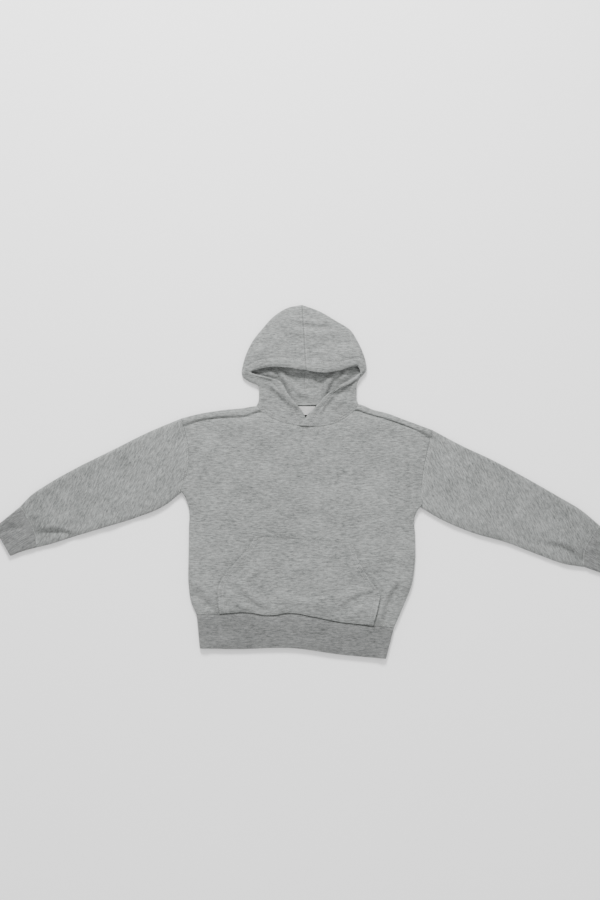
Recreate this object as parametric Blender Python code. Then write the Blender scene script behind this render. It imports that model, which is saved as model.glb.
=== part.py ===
"""Toddler hoodie, laid flat on its back: each cut-and-sewn piece is a thin wall of cloth.

Metres, +Z up. The garment lies on z = 0 with its hood towards +Y, and the origin is on
that surface, under the middle of the outline. Left and right are the wearer's, so the
left sleeve is on +X. Tables and driving sizes are in millimetres, and the points turn
into metres where the meshes are made.
"""
import math
from collections import Counter, namedtuple

import bmesh
import bpy

METRES = 0.001

# Driving sizes
WALL = 2.2               # brushed fleece
RIB_WALL = 2.0           # cuffs
POCKET_WALL = 2.2
LABEL_WALL = 0.4
GAP = 0.3                # between two pieces at a seam
FOLD_RADIUS = 3.8        # round of an outer edge: two walls with the seam allowances inside
EDGE_HEIGHT = 2 * FOLD_RADIUS
REST_HEIGHT = 5.4        # top of the upper layer where it lies on the lower one
LOWEST_HEIGHT = 4.9      # an upper layer never sinks deeper than this
EDGE_REACH = 10.0        # how far inwards an edge holds the upper layer up
CROSSOVER_LIFT = 3.2     # the left hood panel lies over the right one at the collar
CROSSOVER_EDGE = 0.5     # as far as this x, and comes down by the next
CROSSOVER_END = 26.0
BROW_LINE = 7            # the first hood section past the corner of the face opening

Side = namedtuple("Side", "name right_x right_y left_x left_y")
BODY_SIDES = (
    Side("hem", -179.5, -213.0, 134.5, -234.0),
    Side("blouse", -188.5, -191.5, 150.5, -197.0),
    Side("pocket", -192.5, -164.0, 162.0, -168.0),
    Side("waist", -192.5, -123.0, 168.0, -128.0),
    Side("rib", -192.0, -78.0, 168.0, -86.0),
    Side("chest", -192.5, -42.0, 167.5, -58.0),
    Side("below_arm", -200.0, -22.0, 173.5, -44.5),
)

# An armhole runs from the shoulder tip to the underarm, and bows towards the body.
Section = namedtuple("Section", "name top_x top_y low_x low_y bow")
RIGHT_SLEEVE = (
    Section("armhole", -203.5, 99.5, -203.0, -18.0, 11.5),
    Section("upper", -254.0, 78.5, -233.0, -41.0, 3.0),
    Section("biceps", -311.5, 50.0, -279.5, -60.0, 0.0),
    Section("elbow", -372.0, 20.0, -330.5, -75.5, 0.0),
    Section("forearm", -421.0, -8.0, -381.5, -91.0, 2.0),
    Section("above_cuff", -443.5, -23.5, -413.0, -101.0, 5.0),
    Section("cuff_seam", -461.0, -41.5, -434.0, -106.0, 7.0),
)
LEFT_SLEEVE = (
    Section("armhole", 195.5, 81.0, 175.5, -41.5, 4.5),
    Section("upper", 238.5, 58.0, 209.5, -61.5, 2.0),
    Section("biceps", 292.5, 32.5, 262.0, -83.5, 0.0),
    Section("elbow", 347.5, 3.0, 313.0, -98.0, 0.0),
    Section("forearm", 399.0, -26.5, 369.0, -119.5, 3.0),
    Section("above_cuff", 431.0, -45.5, 402.5, -131.5, 7.0),
    Section("cuff_seam", 463.0, -72.0, 438.0, -137.5, 11.0),
)
RIGHT_CUFF = (
    RIGHT_SLEEVE[-1],
    Section("middle", -482.5, -59.0, -454.5, -111.5, 4.0),
    Section("opening", -502.5, -75.0, -475.5, -119.5, 1.0),
)
LEFT_CUFF = (
    LEFT_SLEEVE[-1],
    Section("middle", 483.0, -89.5, 459.5, -145.0, 6.0),
    Section("opening", 503.0, -106.0, 481.0, -152.0, 1.0),
)
# Where the panels' rows meet an armhole, as fractions from its tip to the underarm
ARMHOLE_STOPS = (0.0, 0.11, 0.2, 0.3, 0.45, 0.62, 0.8, 1.0)
SHOULDER_STOP = ARMHOLE_STOPS[1]

Place = namedtuple("Place", "x y")
HEM_SEAM = (
    Place(-179.5, -213.0), Place(-142.5, -211.5), Place(-101.0, -209.0),
    Place(-64.5, -214.0), Place(-29.5, -210.0), Place(9.0, -216.5),
    Place(47.0, -224.0), Place(84.0, -228.5), Place(134.5, -234.0),
)
HEM_FOOT = (
    Place(-174.5, -266.5), Place(-110.0, -267.5), Place(-50.0, -265.5),
    Place(-15.0, -267.0), Place(47.0, -276.0), Place(122.0, -283.0),
)
RIGHT_SHOULDER_SEAM = (
    Place(-199.5, 86.5), Place(-171.5, 96.0), Place(-147.0, 99.5),
    Place(-117.0, 100.5), Place(-93.0, 103.5), Place(-74.5, 109.0),
)
LEFT_SHOULDER_SEAM = (
    Place(70.5, 110.5), Place(99.5, 104.5), Place(130.0, 95.5),
    Place(163.5, 83.0), Place(193.0, 69.0),
)
RIGHT_SHOULDER_EDGE = (
    Place(-203.5, 99.5), Place(-180.5, 105.5), Place(-153.5, 110.5),
    Place(-121.5, 114.5), Place(-94.5, 116.5), Place(-84.5, 119.0),
)
LEFT_SHOULDER_EDGE = (
    Place(78.0, 122.0), Place(90.0, 116.5), Place(127.0, 106.5),
    Place(157.0, 95.0), Place(181.0, 86.5), Place(195.5, 81.0),
)
# The collar seam, from the right neck corner round the front to the left one
NECK_SEAM = (
    Place(-84.5, 119.0), Place(-74.5, 109.0), Place(-62.5, 101.5),
    Place(-47.5, 95.0), Place(-32.0, 90.5), Place(-16.5, 88.0),
    Place(-0.5, 86.5), Place(13.5, 86.5), Place(28.0, 88.5),
    Place(42.5, 92.5), Place(56.5, 100.0), Place(70.5, 110.5),
    Place(78.0, 122.0),
)
RIGHT_PANEL_END = 6      # the right hood panel reaches this place of the collar seam
LEFT_PANEL_END = 5       # the left one crosses over it, to this place
BACK_NECK = Place(-6.5, 120.4)
CROWN = Place(-11.5, 273.5)
SHOULDER_PARTS = 5       # columns across each shoulder

# A hood section starts on the seam over the middle of the head at the back, comes round
# the outer edge and ends at the free edge of the face opening, or on the seam again.
Hood = namedtuple("Hood", "name edge_x edge_y free_x free_y middle_height free_height")
RIGHT_HOOD = (
    Hood("neck", -84.5, 119.0, -0.5, 86.5, 5.4, 5.4),
    Hood("collar", -81.0, 127.0, -9.5, 107.5, 5.6, 5.6),
    Hood("throat", -80.5, 141.5, -21.5, 123.0, 6.0, 11.0),
    Hood("jaw", -81.5, 151.0, -35.0, 140.0, 6.8, 14.0),
    Hood("cheek", -94.5, 157.0, -46.0, 157.5, 9.0, 14.0),
    Hood("temple", -105.0, 164.0, -69.0, 165.5, 10.0, 12.0),
    Hood("corner", -108.0, 171.0, -92.0, 172.0, 9.0, 9.5),
    Hood("brow_side", -106.0, 184.0, -83.5, 176.5, 10.0, 11.5),
    Hood("brow", -100.0, 203.5, -69.0, 180.5, 11.5, 14.5),
    Hood("brim", -90.0, 223.0, -55.0, 181.5, 13.0, 16.5),
    Hood("brim_half", -74.5, 242.5, -40.5, 180.5, 13.5, 17.5),
    Hood("brim_near", -56.5, 262.0, -27.5, 179.0, 13.5, 18.0),
    Hood("crown_side", -35.5, 275.0, -16.5, 177.0, 13.5, 18.0),
    Hood("middle", -12.0, 280.0, -5.5, 176.0, 13.5, 18.0),
)
LEFT_HOOD = (
    Hood("neck", 78.0, 122.0, -16.5, 88.0, 5.4, 5.4),
    Hood("collar", 75.0, 132.0, 0.0, 108.0, 6.4, 6.0),
    Hood("throat", 75.0, 143.0, 13.0, 121.5, 6.4, 11.0),
    Hood("jaw", 75.5, 153.5, 25.0, 135.0, 6.8, 13.0),
    Hood("cheek", 80.0, 162.5, 42.5, 146.5, 8.5, 13.0),
    Hood("temple", 86.0, 169.0, 64.5, 156.5, 9.0, 11.0),
    Hood("corner", 90.5, 175.5, 80.0, 170.0, 8.5, 9.0),
    Hood("brow_side", 90.0, 188.0, 77.5, 181.5, 9.5, 11.0),
    Hood("brow", 84.5, 206.0, 65.5, 181.0, 11.0, 14.0),
    Hood("brim", 76.0, 223.5, 52.0, 176.5, 12.5, 16.0),
    Hood("brim_half", 65.5, 239.5, 39.0, 173.5, 13.0, 17.0),
    Hood("brim_near", 42.5, 254.5, 26.5, 172.0, 13.0, 18.0),
    Hood("crown_side", 14.5, 270.5, 9.5, 173.0, 13.5, 18.0),
    Hood("middle", -12.0, 280.0, -5.5, 176.0, 13.5, 18.0),
)
BACK_PARTS = 4           # columns of a hood section between the back seam and the edge

Row = namedtuple("Row", "name right_x right_y left_x left_y")
POCKET = (
    Row("foot", -143.0, -209.0, 101.0, -228.0),
    Row("side", -145.0, -190.0, 108.5, -201.0),
    Row("corner", -145.0, -170.5, 111.5, -179.0),
    Row("opening_low", -138.0, -153.0, 103.0, -167.0),
    Row("opening_half", -117.0, -129.5, 89.0, -146.0),
    Row("opening_high", -98.0, -107.0, 76.5, -121.0),
    Row("top", -86.5, -88.0, 69.5, -99.0),
)
POCKET_COLUMNS = 14
LABEL = Row("neck_label", -21.5, 105.0, 9.0, 118.5)

# Only the largest folds: each is a low ridge from start to end, as wide as it says on
# either side of its line.
Fold = namedtuple("Fold", "name start_x start_y end_x end_y width height")
CLOTH_FOLDS = (
    Fold("blouse_right", -180.0, -172.0, -168.0, -200.0, 8.0, 2.6),
    Fold("blouse_left", 149.0, -165.0, 137.0, -204.0, 8.0, 2.8),
    Fold("armhole_right", -160.0, 66.0, -188.0, -8.0, 14.0, 2.0),
    Fold("armhole_left", 142.0, 44.0, 150.0, -32.0, 14.0, 2.0),
    Fold("wrist_right", -428.0, -62.0, -372.0, -62.0, 11.0, 2.4),
    Fold("wrist_left", 418.0, -88.0, 366.0, -78.0, 11.0, 2.2),
    Fold("elbow_right", -330.0, -28.0, -290.0, -38.0, 14.0, 1.6),
    Fold("elbow_left", 306.0, -40.0, 268.0, -56.0, 14.0, 1.6),
)
POCKET_FOLDS = (
    Fold("corner_right", -118.0, -176.0, -72.0, -205.0, 12.0, 2.6),
    Fold("hand_right", -92.0, -128.0, -112.0, -152.0, 12.0, 1.6),
    Fold("belly", -46.0, -184.0, 24.0, -192.0, 13.0, 1.8),
    Fold("corner_left", 52.0, -196.0, 92.0, -184.0, 11.0, 2.2),
)
HOOD_FOLDS = (Fold("crown", -30.0, 251.0, 36.0, 239.0, 9.0, 2.2),)

Paint = namedtuple("Paint", "red green blue roughness")
FLEECE = Paint(0.352, 0.360, 0.355, 0.95)
RIB = Paint(0.285, 0.288, 0.287, 0.95)
LABEL_CLOTH = Paint(0.62, 0.62, 0.61, 0.8)


def between(a, b, share):
    """The point at a share of the way from a to b."""
    return tuple(p + (q - p) * share for p, q in zip(a, b))


def moved(point, direction, distance):
    """A plan point moved along a unit direction."""
    return point[0] + direction[0] * distance, point[1] + direction[1] * distance


def unit(a, b):
    """The unit plan direction from a to b."""
    length = math.dist(a[:2], b[:2])
    return (b[0] - a[0]) / length, (b[1] - a[1]) / length


def height_on(places, x):
    """y on a smooth curve through places that follow each other in x."""
    last = len(places) - 2
    i = 0
    while i < last and x > places[i + 1].x:
        i += 1
    a, b = places[i], places[i + 1]
    before = places[max(i - 1, 0)]
    after = places[min(i + 2, len(places) - 1)]
    share = (x - a.x) / (b.x - a.x)
    slope_a = (b.y - before.y) / (b.x - before.x) * (b.x - a.x)
    slope_b = (after.y - a.y) / (after.x - a.x) * (b.x - a.x)
    cube, square = share ** 3, share ** 2
    return ((2 * cube - 3 * square + 1) * a.y + (cube - 2 * square + share) * slope_a
            + (3 * square - 2 * cube) * b.y + (cube - square) * slope_b)


def to_segment(point, a, b):
    """Distance in plan from a point to the segment from a to b."""
    along = (b[0] - a[0], b[1] - a[1])
    length = along[0] ** 2 + along[1] ** 2
    share = ((point[0] - a[0]) * along[0] + (point[1] - a[1]) * along[1]) / length
    share = min(1.0, max(0.0, share))
    return math.dist(point[:2], moved(a, along, share))


def folded_edges():
    """The outer edges where an upper layer turns under, as runs of plan points."""
    right_side = [(s.right_x, s.right_y) for s in BODY_SIDES]
    left_side = [(s.left_x, s.left_y) for s in BODY_SIDES]
    band_ends = [(HEM_FOOT[0].x, HEM_FOOT[0].y), (HEM_FOOT[-1].x, HEM_FOOT[-1].y)]
    runs = [band_ends[:1] + right_side, band_ends[1:] + left_side,
            [(p.x, p.y) for p in RIGHT_SHOULDER_EDGE],
            [(p.x, p.y) for p in LEFT_SHOULDER_EDGE]]
    for sections in (RIGHT_SLEEVE + RIGHT_CUFF, LEFT_SLEEVE + LEFT_CUFF):
        runs.append([(s.top_x, s.top_y) for s in sections])
        runs.append([(s.low_x, s.low_y) for s in sections])
    segments = []
    for run in runs:
        segments += [(a, b) for a, b in zip(run, run[1:]) if a != b]
    return segments


EDGES = folded_edges()


def fold_height(point, folds):
    """How much the folds lift the cloth at a plan point."""
    lift = 0.0
    for fold in folds:
        away = to_segment(point, (fold.start_x, fold.start_y), (fold.end_x, fold.end_y))
        lift += fold.height * math.exp(-((away / fold.width) ** 2))
    return lift


def top_height(point, folds=CLOTH_FOLDS):
    """Top of the upper layer: it rests on the lower one and rises to the folded edges."""
    away = min(to_segment(point, a, b) for a, b in EDGES)
    inwards = max(0.0, away - FOLD_RADIUS) / EDGE_REACH
    rise = (EDGE_HEIGHT - REST_HEIGHT) * math.exp(-inwards ** 2)
    return max(LOWEST_HEIGHT, REST_HEIGHT + rise + fold_height(point, folds))


def edge_turn(degrees, inset):
    """Distance in from the outline and height, round an edge: 0 is below, 180 on top."""
    angle = math.radians(degrees)
    return (FOLD_RADIUS - (FOLD_RADIUS - inset) * math.sin(angle),
            FOLD_RADIUS - (FOLD_RADIUS - inset) * math.cos(angle))


ROLL = 45                # degrees between two rows of a turned edge
FLAT_STEPS = tuple(edge_turn(180 - ROLL * i, 0.0)[0] for i in (2, 1, 0))


def paint(name, colour):
    """A plain cloth material."""
    material = bpy.data.materials.new(name)
    material.use_nodes = True
    shader = material.node_tree.nodes["Principled BSDF"]
    shader.inputs["Base Color"].default_value = (colour.red, colour.green, colour.blue, 1)
    shader.inputs["Roughness"].default_value = colour.roughness
    material.diffuse_color = (colour.red, colour.green, colour.blue, 1)
    return material


def cloth_wall(name, outer, inner, colour, tube=False, missing=()):
    """One closed wall between an outer and an inner grid of points, rows by columns.

    A tube's last column joins its first. Cells in missing are left out, and every edge
    of the outer grid that only one cell uses gets a rim across to the inner grid.
    """
    rows, columns = len(outer), len(outer[0])
    mesh = bmesh.new()
    sides = []
    for grid in (outer, inner):
        sides.append([[None] * columns for _ in range(rows)])
        for r in range(rows):
            for c in range(columns):
                sides[-1][r][c] = mesh.verts.new([v * METRES for v in grid[r][c]])
    front, back = sides
    uses = Counter()
    for r in range(rows - 1):
        for c in range(columns if tube else columns - 1):
            if (r, c) in missing:
                continue
            across = (c + 1) % columns
            ring = [(r, c), (r, across), (r + 1, across), (r + 1, c)]
            mesh.faces.new([front[i][j] for i, j in ring])
            mesh.faces.new([back[i][j] for i, j in reversed(ring)])
            for a, b in zip(ring, ring[1:] + ring[:1]):
                uses[frozenset((a, b))] += 1
    for edge in [e for e, count in uses.items() if count == 1]:
        (ar, ac), (br, bc) = edge
        mesh.faces.new([front[ar][ac], front[br][bc], back[br][bc], back[ar][ac]])
    bmesh.ops.delete(mesh, geom=[v for v in mesh.verts if not v.link_faces], context="VERTS")
    bmesh.ops.recalc_face_normals(mesh, faces=mesh.faces)
    data = bpy.data.meshes.new(name)
    mesh.to_mesh(data)
    mesh.free()
    data.shade_smooth()
    data.set_sharp_from_angle(angle=math.radians(50))
    data.materials.append(paint(name, colour))
    piece = bpy.data.objects.new(name, data)
    bpy.data.collections["toddler_hoodie"].objects.link(piece)
    return piece


def on_section(section, share):
    """Plan point on a sleeve section, which bows towards the body."""
    top, low = (section.top_x, section.top_y), (section.low_x, section.low_y)
    along = unit(top, low)
    inwards = -1 if section.top_x > 0 else 1
    across = (inwards * abs(along[1]), inwards * along[0] * (1 if along[1] < 0 else -1) * -1)
    bow = section.bow * math.sin(math.pi * share)
    return moved(between(top, low, share), across, bow)


def stopped(section, share):
    """The same, on the straight runs between the armhole's stops."""
    for a, b in zip(ARMHOLE_STOPS, ARMHOLE_STOPS[1:]):
        if share <= b:
            part = (share - a) / (b - a)
            return between(on_section(section, a), on_section(section, b), part)
    return on_section(section, 1.0)


def section_ring(section, wall, shift, inset):
    """A flattened ring of a sleeve or cuff, from its top edge round and back."""
    length = math.dist((section.top_x, section.top_y), (section.low_x, section.low_y))
    upper, lower = [], []
    for turn in (90, 135):
        distance, height = edge_turn(turn, inset)
        upper.append((distance / length, height))
        lower.append((distance / length, EDGE_HEIGHT - height))
    flat = [FOLD_RADIUS / length, *ARMHOLE_STOPS[1:-1], 1 - FOLD_RADIUS / length]
    ring = [stopped(section, share) + (height,) for share, height in upper]
    for share in flat:
        place = stopped(section, share)
        ring.append(place + (top_height(place) - inset,))
    ring += [stopped(section, 1 - share) + (height,) for share, height in reversed(upper)]
    ring.append(stopped(section, 1 - lower[1][0]) + (lower[1][1],))
    ring += [stopped(section, share) + (inset,) for share in reversed(flat)]
    ring.append(stopped(section, lower[1][0]) + (lower[1][1],))
    return [(x + shift, y, z) for x, y, z in ring]


def tube(name, sections, wall, colour, starts_with_gap):
    """A sleeve or cuff: rings joined into one tube, open at both ends."""
    away = GAP if sections[0].top_x > 0 else -GAP
    shifts = [away if starts_with_gap and not i else 0.0 for i in range(len(sections))]
    grids = []
    for inset in (0.0, wall):
        grids.append([section_ring(s, wall, d, inset) for s, d in zip(sections, shifts)])
    return cloth_wall(name, grids[0], grids[1], colour, tube=True)


def column_shares():
    """Where the body's columns stand across it, as shares of the shoulder seams' span."""
    start, end = RIGHT_SHOULDER_SEAM[0].x, LEFT_SHOULDER_SEAM[-1].x
    neck = [place.x for place in NECK_SEAM[1:-1]]
    right = [start + (neck[0] - start) * i / SHOULDER_PARTS for i in range(1, SHOULDER_PARTS)]
    left = [neck[-1] + (end - neck[-1]) * i / SHOULDER_PARTS for i in range(1, SHOULDER_PARTS)]
    return [(x - start) / (end - start) for x in right + neck + left]


COLUMNS = column_shares()
FIRST_NECK_COLUMN = len(FLAT_STEPS) + SHOULDER_PARTS - 1
LAST_NECK_COLUMN = FIRST_NECK_COLUMN + len(NECK_SEAM) - 3


def flat_row(right, left, curve=None):
    """Plan points of a body row, from its right end to its left one."""
    def at(share):
        x, y = between(right, left, share)
        return (x, height_on(curve, x)) if curve else (x, y)
    length = math.dist(right, left)
    ends = [distance / length for distance in FLAT_STEPS]
    return [at(s) for s in ends + COLUMNS + [1 - s for s in reversed(ends)]]


def body_rows():
    """The rows that both panels share: up the sides, then up the armholes."""
    hem = BODY_SIDES[0]
    rows = [flat_row((hem.right_x, hem.right_y), (hem.left_x, hem.left_y), HEM_SEAM)]
    rows += [flat_row((s.right_x, s.right_y), (s.left_x, s.left_y)) for s in BODY_SIDES[1:]]
    for share in reversed(ARMHOLE_STOPS[2:]):
        ends = [on_section(sleeve[0], share) for sleeve in (RIGHT_SLEEVE, LEFT_SLEEVE)]
        rows.append(flat_row(*ends))
    return rows


def rolled(row, upper, inset):
    """A row whose two ends turn round the body's side, down or up to the side seam."""
    length = math.dist(row[0], row[-1])
    turns = (90, 135, 180) if upper else (90, 45, 0)
    seam = GAP / 2 if upper else -GAP / 2
    ends = []
    for turn in turns:
        distance, height = edge_turn(turn, inset)
        ends.append((distance / length, height + (seam if turn == 90 else 0.0)))
    points = [between(row[0], row[-1], share) + (height,) for share, height in ends]
    for place in row[3:-3]:
        points.append(place + ((top_height(place) - inset) if upper else inset,))
    points += [between(row[-1], row[0], share) + (z,) for share, z in reversed(ends)]
    return points


def layer(row, upper, inset):
    """A row that ends at an armhole, with no turned ends."""
    return [place + ((top_height(place) - inset) if upper else inset,) for place in row]


def hem_ends(points, row):
    """The hem seam is no straight line, so a rolled row takes its curve from the plan."""
    return [(x, height_on(HEM_SEAM, x), z) for x, y, z in points] if row else points


def shoulder_columns(seam, start, end):
    """Plan points on a shoulder seam, from x = start to x = end."""
    xs = [start + (end - start) * i / SHOULDER_PARTS for i in range(SHOULDER_PARTS + 1)]
    return [(x, height_on(seam, x)) for x in xs]


def seam_row():
    """The front panel's upper edge: shoulder seam, collar seam, shoulder seam."""
    right_end = on_section(RIGHT_SLEEVE[0], SHOULDER_STOP)
    left_end = on_section(LEFT_SLEEVE[0], SHOULDER_STOP)
    neck = [(p.x, p.y) for p in NECK_SEAM[1:-1]]
    right = shoulder_columns(RIGHT_SHOULDER_SEAM, RIGHT_SHOULDER_SEAM[0].x, neck[0][0])
    left = shoulder_columns(LEFT_SHOULDER_SEAM, neck[-1][0], LEFT_SHOULDER_SEAM[-1].x)
    row = [moved(right_end, unit(right_end, right[1]), d) for d in FLAT_STEPS]
    row += right[1:-1] + neck + left[1:-1]
    row += [moved(left_end, unit(left_end, left[-2]), d) for d in reversed(FLAT_STEPS)]
    return row


def body_front():
    """The front panel: it turns down at the sides and lies on the back panel."""
    rows = body_rows()
    grids = []
    for inset in (0.0, WALL):
        grid = []
        for index, row in enumerate(rows):
            turned = index < len(BODY_SIDES)
            points = rolled(row, True, inset) if turned else layer(row, True, inset)
            grid.append(hem_ends(points, index == 0))
        grid.append(layer(seam_row(), True, inset))
        grids.append(grid)
    return cloth_wall("body_front", grids[0], grids[1], FLEECE)


def shoulder_edge_points():
    """Outline points of both shoulders, with the collar's back edge between them."""
    corner_right = (NECK_SEAM[0].x, NECK_SEAM[0].y)
    corner_left = (NECK_SEAM[-1].x, NECK_SEAM[-1].y)
    tips = [(s[0].top_x, s[0].top_y) for s in (RIGHT_SLEEVE, LEFT_SLEEVE)]
    right = shoulder_columns(RIGHT_SHOULDER_EDGE, tips[0][0], corner_right[0])
    left = shoulder_columns(LEFT_SHOULDER_EDGE, corner_left[0], tips[1][0])
    count = len(NECK_SEAM) - 3
    neck = [between(corner_right, corner_left, i / count) for i in range(1, count)]
    row = [moved(tips[0], unit(tips[0], right[1]), d) for d in FLAT_STEPS]
    row += right[1:] + neck + left[:-1]
    row += [moved(tips[1], unit(tips[1], left[-2]), d) for d in reversed(FLAT_STEPS)]
    return row


def turned_shoulder(turn, inset):
    """A row of the back panel where it comes over the shoulders' edges."""
    distance, height = edge_turn(turn, inset)
    row = []
    edge = shoulder_edge_points()
    last = len(edge) - 1
    for column, place in enumerate(edge):
        if column in (0, last):
            sleeve = (RIGHT_SLEEVE if column == 0 else LEFT_SLEEVE)[0]
            along = unit(on_section(sleeve, 0.0), on_section(sleeve, SHOULDER_STOP))
        elif column in (FIRST_NECK_COLUMN, LAST_NECK_COLUMN) and turn > 90:
            first, second = (0, 1) if column == FIRST_NECK_COLUMN else (-1, -2)
            along = unit(NECK_SEAM[first], NECK_SEAM[second])
        elif FIRST_NECK_COLUMN < column < LAST_NECK_COLUMN:
            along = (0.0, 0.0)
        else:
            along = (0.0, -1.0)
        row.append(moved(place, along, distance) + (height,))
    return row


def flap_end(inset):
    """The back panel's edge on the front, a gap above the shoulder seams."""
    row = []
    for column, (x, y) in enumerate(seam_row()):
        along = (0.0, 1.0)
        if column == FIRST_NECK_COLUMN:
            along = unit(NECK_SEAM[1], NECK_SEAM[0])
        elif column == LAST_NECK_COLUMN:
            along = unit(NECK_SEAM[-2], NECK_SEAM[-1])
        place = moved((x, y), along, GAP)
        row.append(place + (top_height(place) - inset,))
    return row


def body_back():
    """The back panel, flat on the ground, with the two flaps that turn over the shoulders."""
    rows = body_rows()
    grids = []
    for inset in (0.0, WALL):
        grid = []
        for index, row in enumerate(rows):
            turned = index < len(BODY_SIDES)
            points = rolled(row, False, inset) if turned else layer(row, False, inset)
            grid.append(hem_ends(points, index == 0))
        grid += [turned_shoulder(turn, inset) for turn in range(0, 181, ROLL)]
        grid.append(flap_end(inset))
        grids.append(grid)
    first_turn = len(rows)
    missing = {(r, c) for r in range(first_turn, len(grids[0]))
               for c in range(FIRST_NECK_COLUMN, LAST_NECK_COLUMN)}
    return cloth_wall("body_back", grids[0], grids[1], FLEECE, missing=missing)


def hem_band():
    """One strip round the body's foot: both layers, turned at the sides."""
    foot_ends = [(HEM_FOOT[0].x, HEM_FOOT[0].y), (HEM_FOOT[-1].x, HEM_FOOT[-1].y)]
    hem = BODY_SIDES[0]
    seam_ends = [(hem.right_x, hem.right_y), (hem.left_x, hem.left_y)]
    grids = []
    for inset in (0.0, WALL):
        grid = []
        for share in (0.0, 0.5, 1.0):
            ends = [between(a, b, share) for a, b in zip(seam_ends, foot_ends)]
            row = flat_row(*ends)
            halves = [rolled(row, upper, inset) for upper in (True, False)]
            ring = halves[0] + halves[1][-2:0:-1]
            points = []
            for x, y, z in ring:
                seam = height_on(HEM_SEAM, min(max(x, HEM_SEAM[0].x), HEM_SEAM[-1].x))
                foot = height_on(HEM_FOOT, min(max(x, HEM_FOOT[0].x), HEM_FOOT[-1].x))
                points.append((x, seam + (foot - seam) * share - GAP * (1 - share), z))
            grid.append(points)
        grids.append(grid)
    return cloth_wall("hem_band", grids[0], grids[1], FLEECE, tube=True)


def pocket():
    """The kangaroo pocket: a panel that lies on the front, sewn in at its foot and top."""
    grids = []
    for inset in (0.0, POCKET_WALL):
        grid = []
        for index, row in enumerate(POCKET):
            points = []
            for column in range(POCKET_COLUMNS + 1):
                place = between((row.right_x, row.right_y), (row.left_x, row.left_y),
                                column / POCKET_COLUMNS)
                if index == 0:
                    place = (place[0], height_on(HEM_SEAM, place[0]) + GAP)
                lift = fold_height(place, POCKET_FOLDS) if 0 < index < len(POCKET) - 1 else 0
                height = top_height(place) + GAP + POCKET_WALL + lift - inset
                points.append(place + (height,))
            grid.append(points)
        grids.append(grid)
    return cloth_wall("pocket", grids[0], grids[1], FLEECE)


def edge_normal(sections, index):
    """Inward plan direction across a hood's outline at one section."""
    before, after = sections[index - 1], sections[min(index + 1, len(sections) - 1)]
    along = unit((before.edge_x, before.edge_y), (after.edge_x, after.edge_y))
    inwards = 1 if sections[0].edge_x < 0 else -1
    return inwards * along[1], -inwards * along[0]


def hood_section(sections, index, collar, inset):
    """One section of a hood panel, from the back seam round the edge to its free end."""
    section = sections[index]
    edge = (section.edge_x, section.edge_y)
    free = (section.free_x, section.free_y)
    lengths = [0.0]
    for a, b in zip(collar, collar[1:]):
        lengths.append(lengths[-1] + math.dist(a, b))
    shares = [length / lengths[-1] for length in lengths[1:]]
    back = between(BACK_NECK, CROWN, index / (len(sections) - 1))
    if index == 0:
        below, above = unit(edge, back), unit(edge, collar[1])
        front = [tuple(place) for place in collar[1:]]
    elif index == len(sections) - 1:
        below = above = unit(edge, free)
        start = moved(edge, above, FOLD_RADIUS)
        front = [between(start, free, share) for share in shares]
    else:
        below = above = edge_normal(sections, index)
        start = moved(edge, above, FOLD_RADIUS)
        front = [between(start, free, share) for share in shares]
    low_start = moved(edge, below, FOLD_RADIUS)
    points = []
    for column in range(BACK_PARTS):
        points.append(between(back, low_start, column / BACK_PARTS) + (inset,))
    for turn in range(0, 181, ROLL):
        distance, height = edge_turn(turn, inset)
        points.append(moved(edge, below if turn <= 90 else above, distance) + (height,))
    for share, place in zip(shares, front):
        to_middle = (1 - share) * (1 - 2 * share) * EDGE_HEIGHT
        middle = 4 * share * (1 - share) * section.middle_height
        height = to_middle + middle + share * (2 * share - 1) * section.free_height
        if index >= BROW_LINE:
            height += fold_height(place, HOOD_FOLDS)
        elif sections is LEFT_HOOD and index < 2:
            clear = (CROSSOVER_END - place[0]) / (CROSSOVER_END - CROSSOVER_EDGE)
            height += CROSSOVER_LIFT * min(1.0, max(0.0, clear))
        points.append(place + (height - inset,))
    return points


def hood(name, sections, collar):
    """A hood panel. The two meet in the seam over the middle, a gap apart."""
    side = -1 if sections[0].edge_x < 0 else 1
    grids = []
    for inset in (0.0, WALL):
        grid = []
        for index in range(len(sections)):
            points = hood_section(sections, index, collar, inset)
            if index == 0:
                points = [(x, y + GAP, z) for x, y, z in points]
            if index == len(sections) - 1:
                points = [(x + side * GAP / 2, y, z) for x, y, z in points]
            else:
                x, y, z = points[0]
                points[0] = (x + side * GAP / 2, y, z)
            grid.append(points)
        grids.append(grid)
    return cloth_wall(name, grids[0], grids[1], FLEECE)


def neck_label():
    """A blank strip on the inside of the back panel, below the collar seam."""
    low, high = WALL + GAP, WALL + GAP + LABEL_WALL
    grids = []
    for height in (high, low):
        grids.append([[(x, y, height) for x in (LABEL.right_x, LABEL.left_x)]
                      for y in (LABEL.right_y, LABEL.left_y)])
    return cloth_wall("neck_label", grids[0], grids[1], LABEL_CLOTH)


def main():
    for old in list(bpy.data.objects):
        bpy.data.objects.remove(old, do_unlink=True)
    garment = bpy.data.collections.new("toddler_hoodie")
    bpy.context.scene.collection.children.link(garment)
    body_back()
    body_front()
    tube("sleeve_right", RIGHT_SLEEVE, WALL, FLEECE, starts_with_gap=True)
    tube("sleeve_left", LEFT_SLEEVE, WALL, FLEECE, starts_with_gap=True)
    tube("cuff_right", RIGHT_CUFF, RIB_WALL, RIB, starts_with_gap=True)
    tube("cuff_left", LEFT_CUFF, RIB_WALL, RIB, starts_with_gap=True)
    hem_band()
    pocket()
    hood("hood_right", RIGHT_HOOD, NECK_SEAM[:RIGHT_PANEL_END + 1])
    hood("hood_left", LEFT_HOOD, NECK_SEAM[:LEFT_PANEL_END - 1:-1])
    neck_label()


main()
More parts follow.
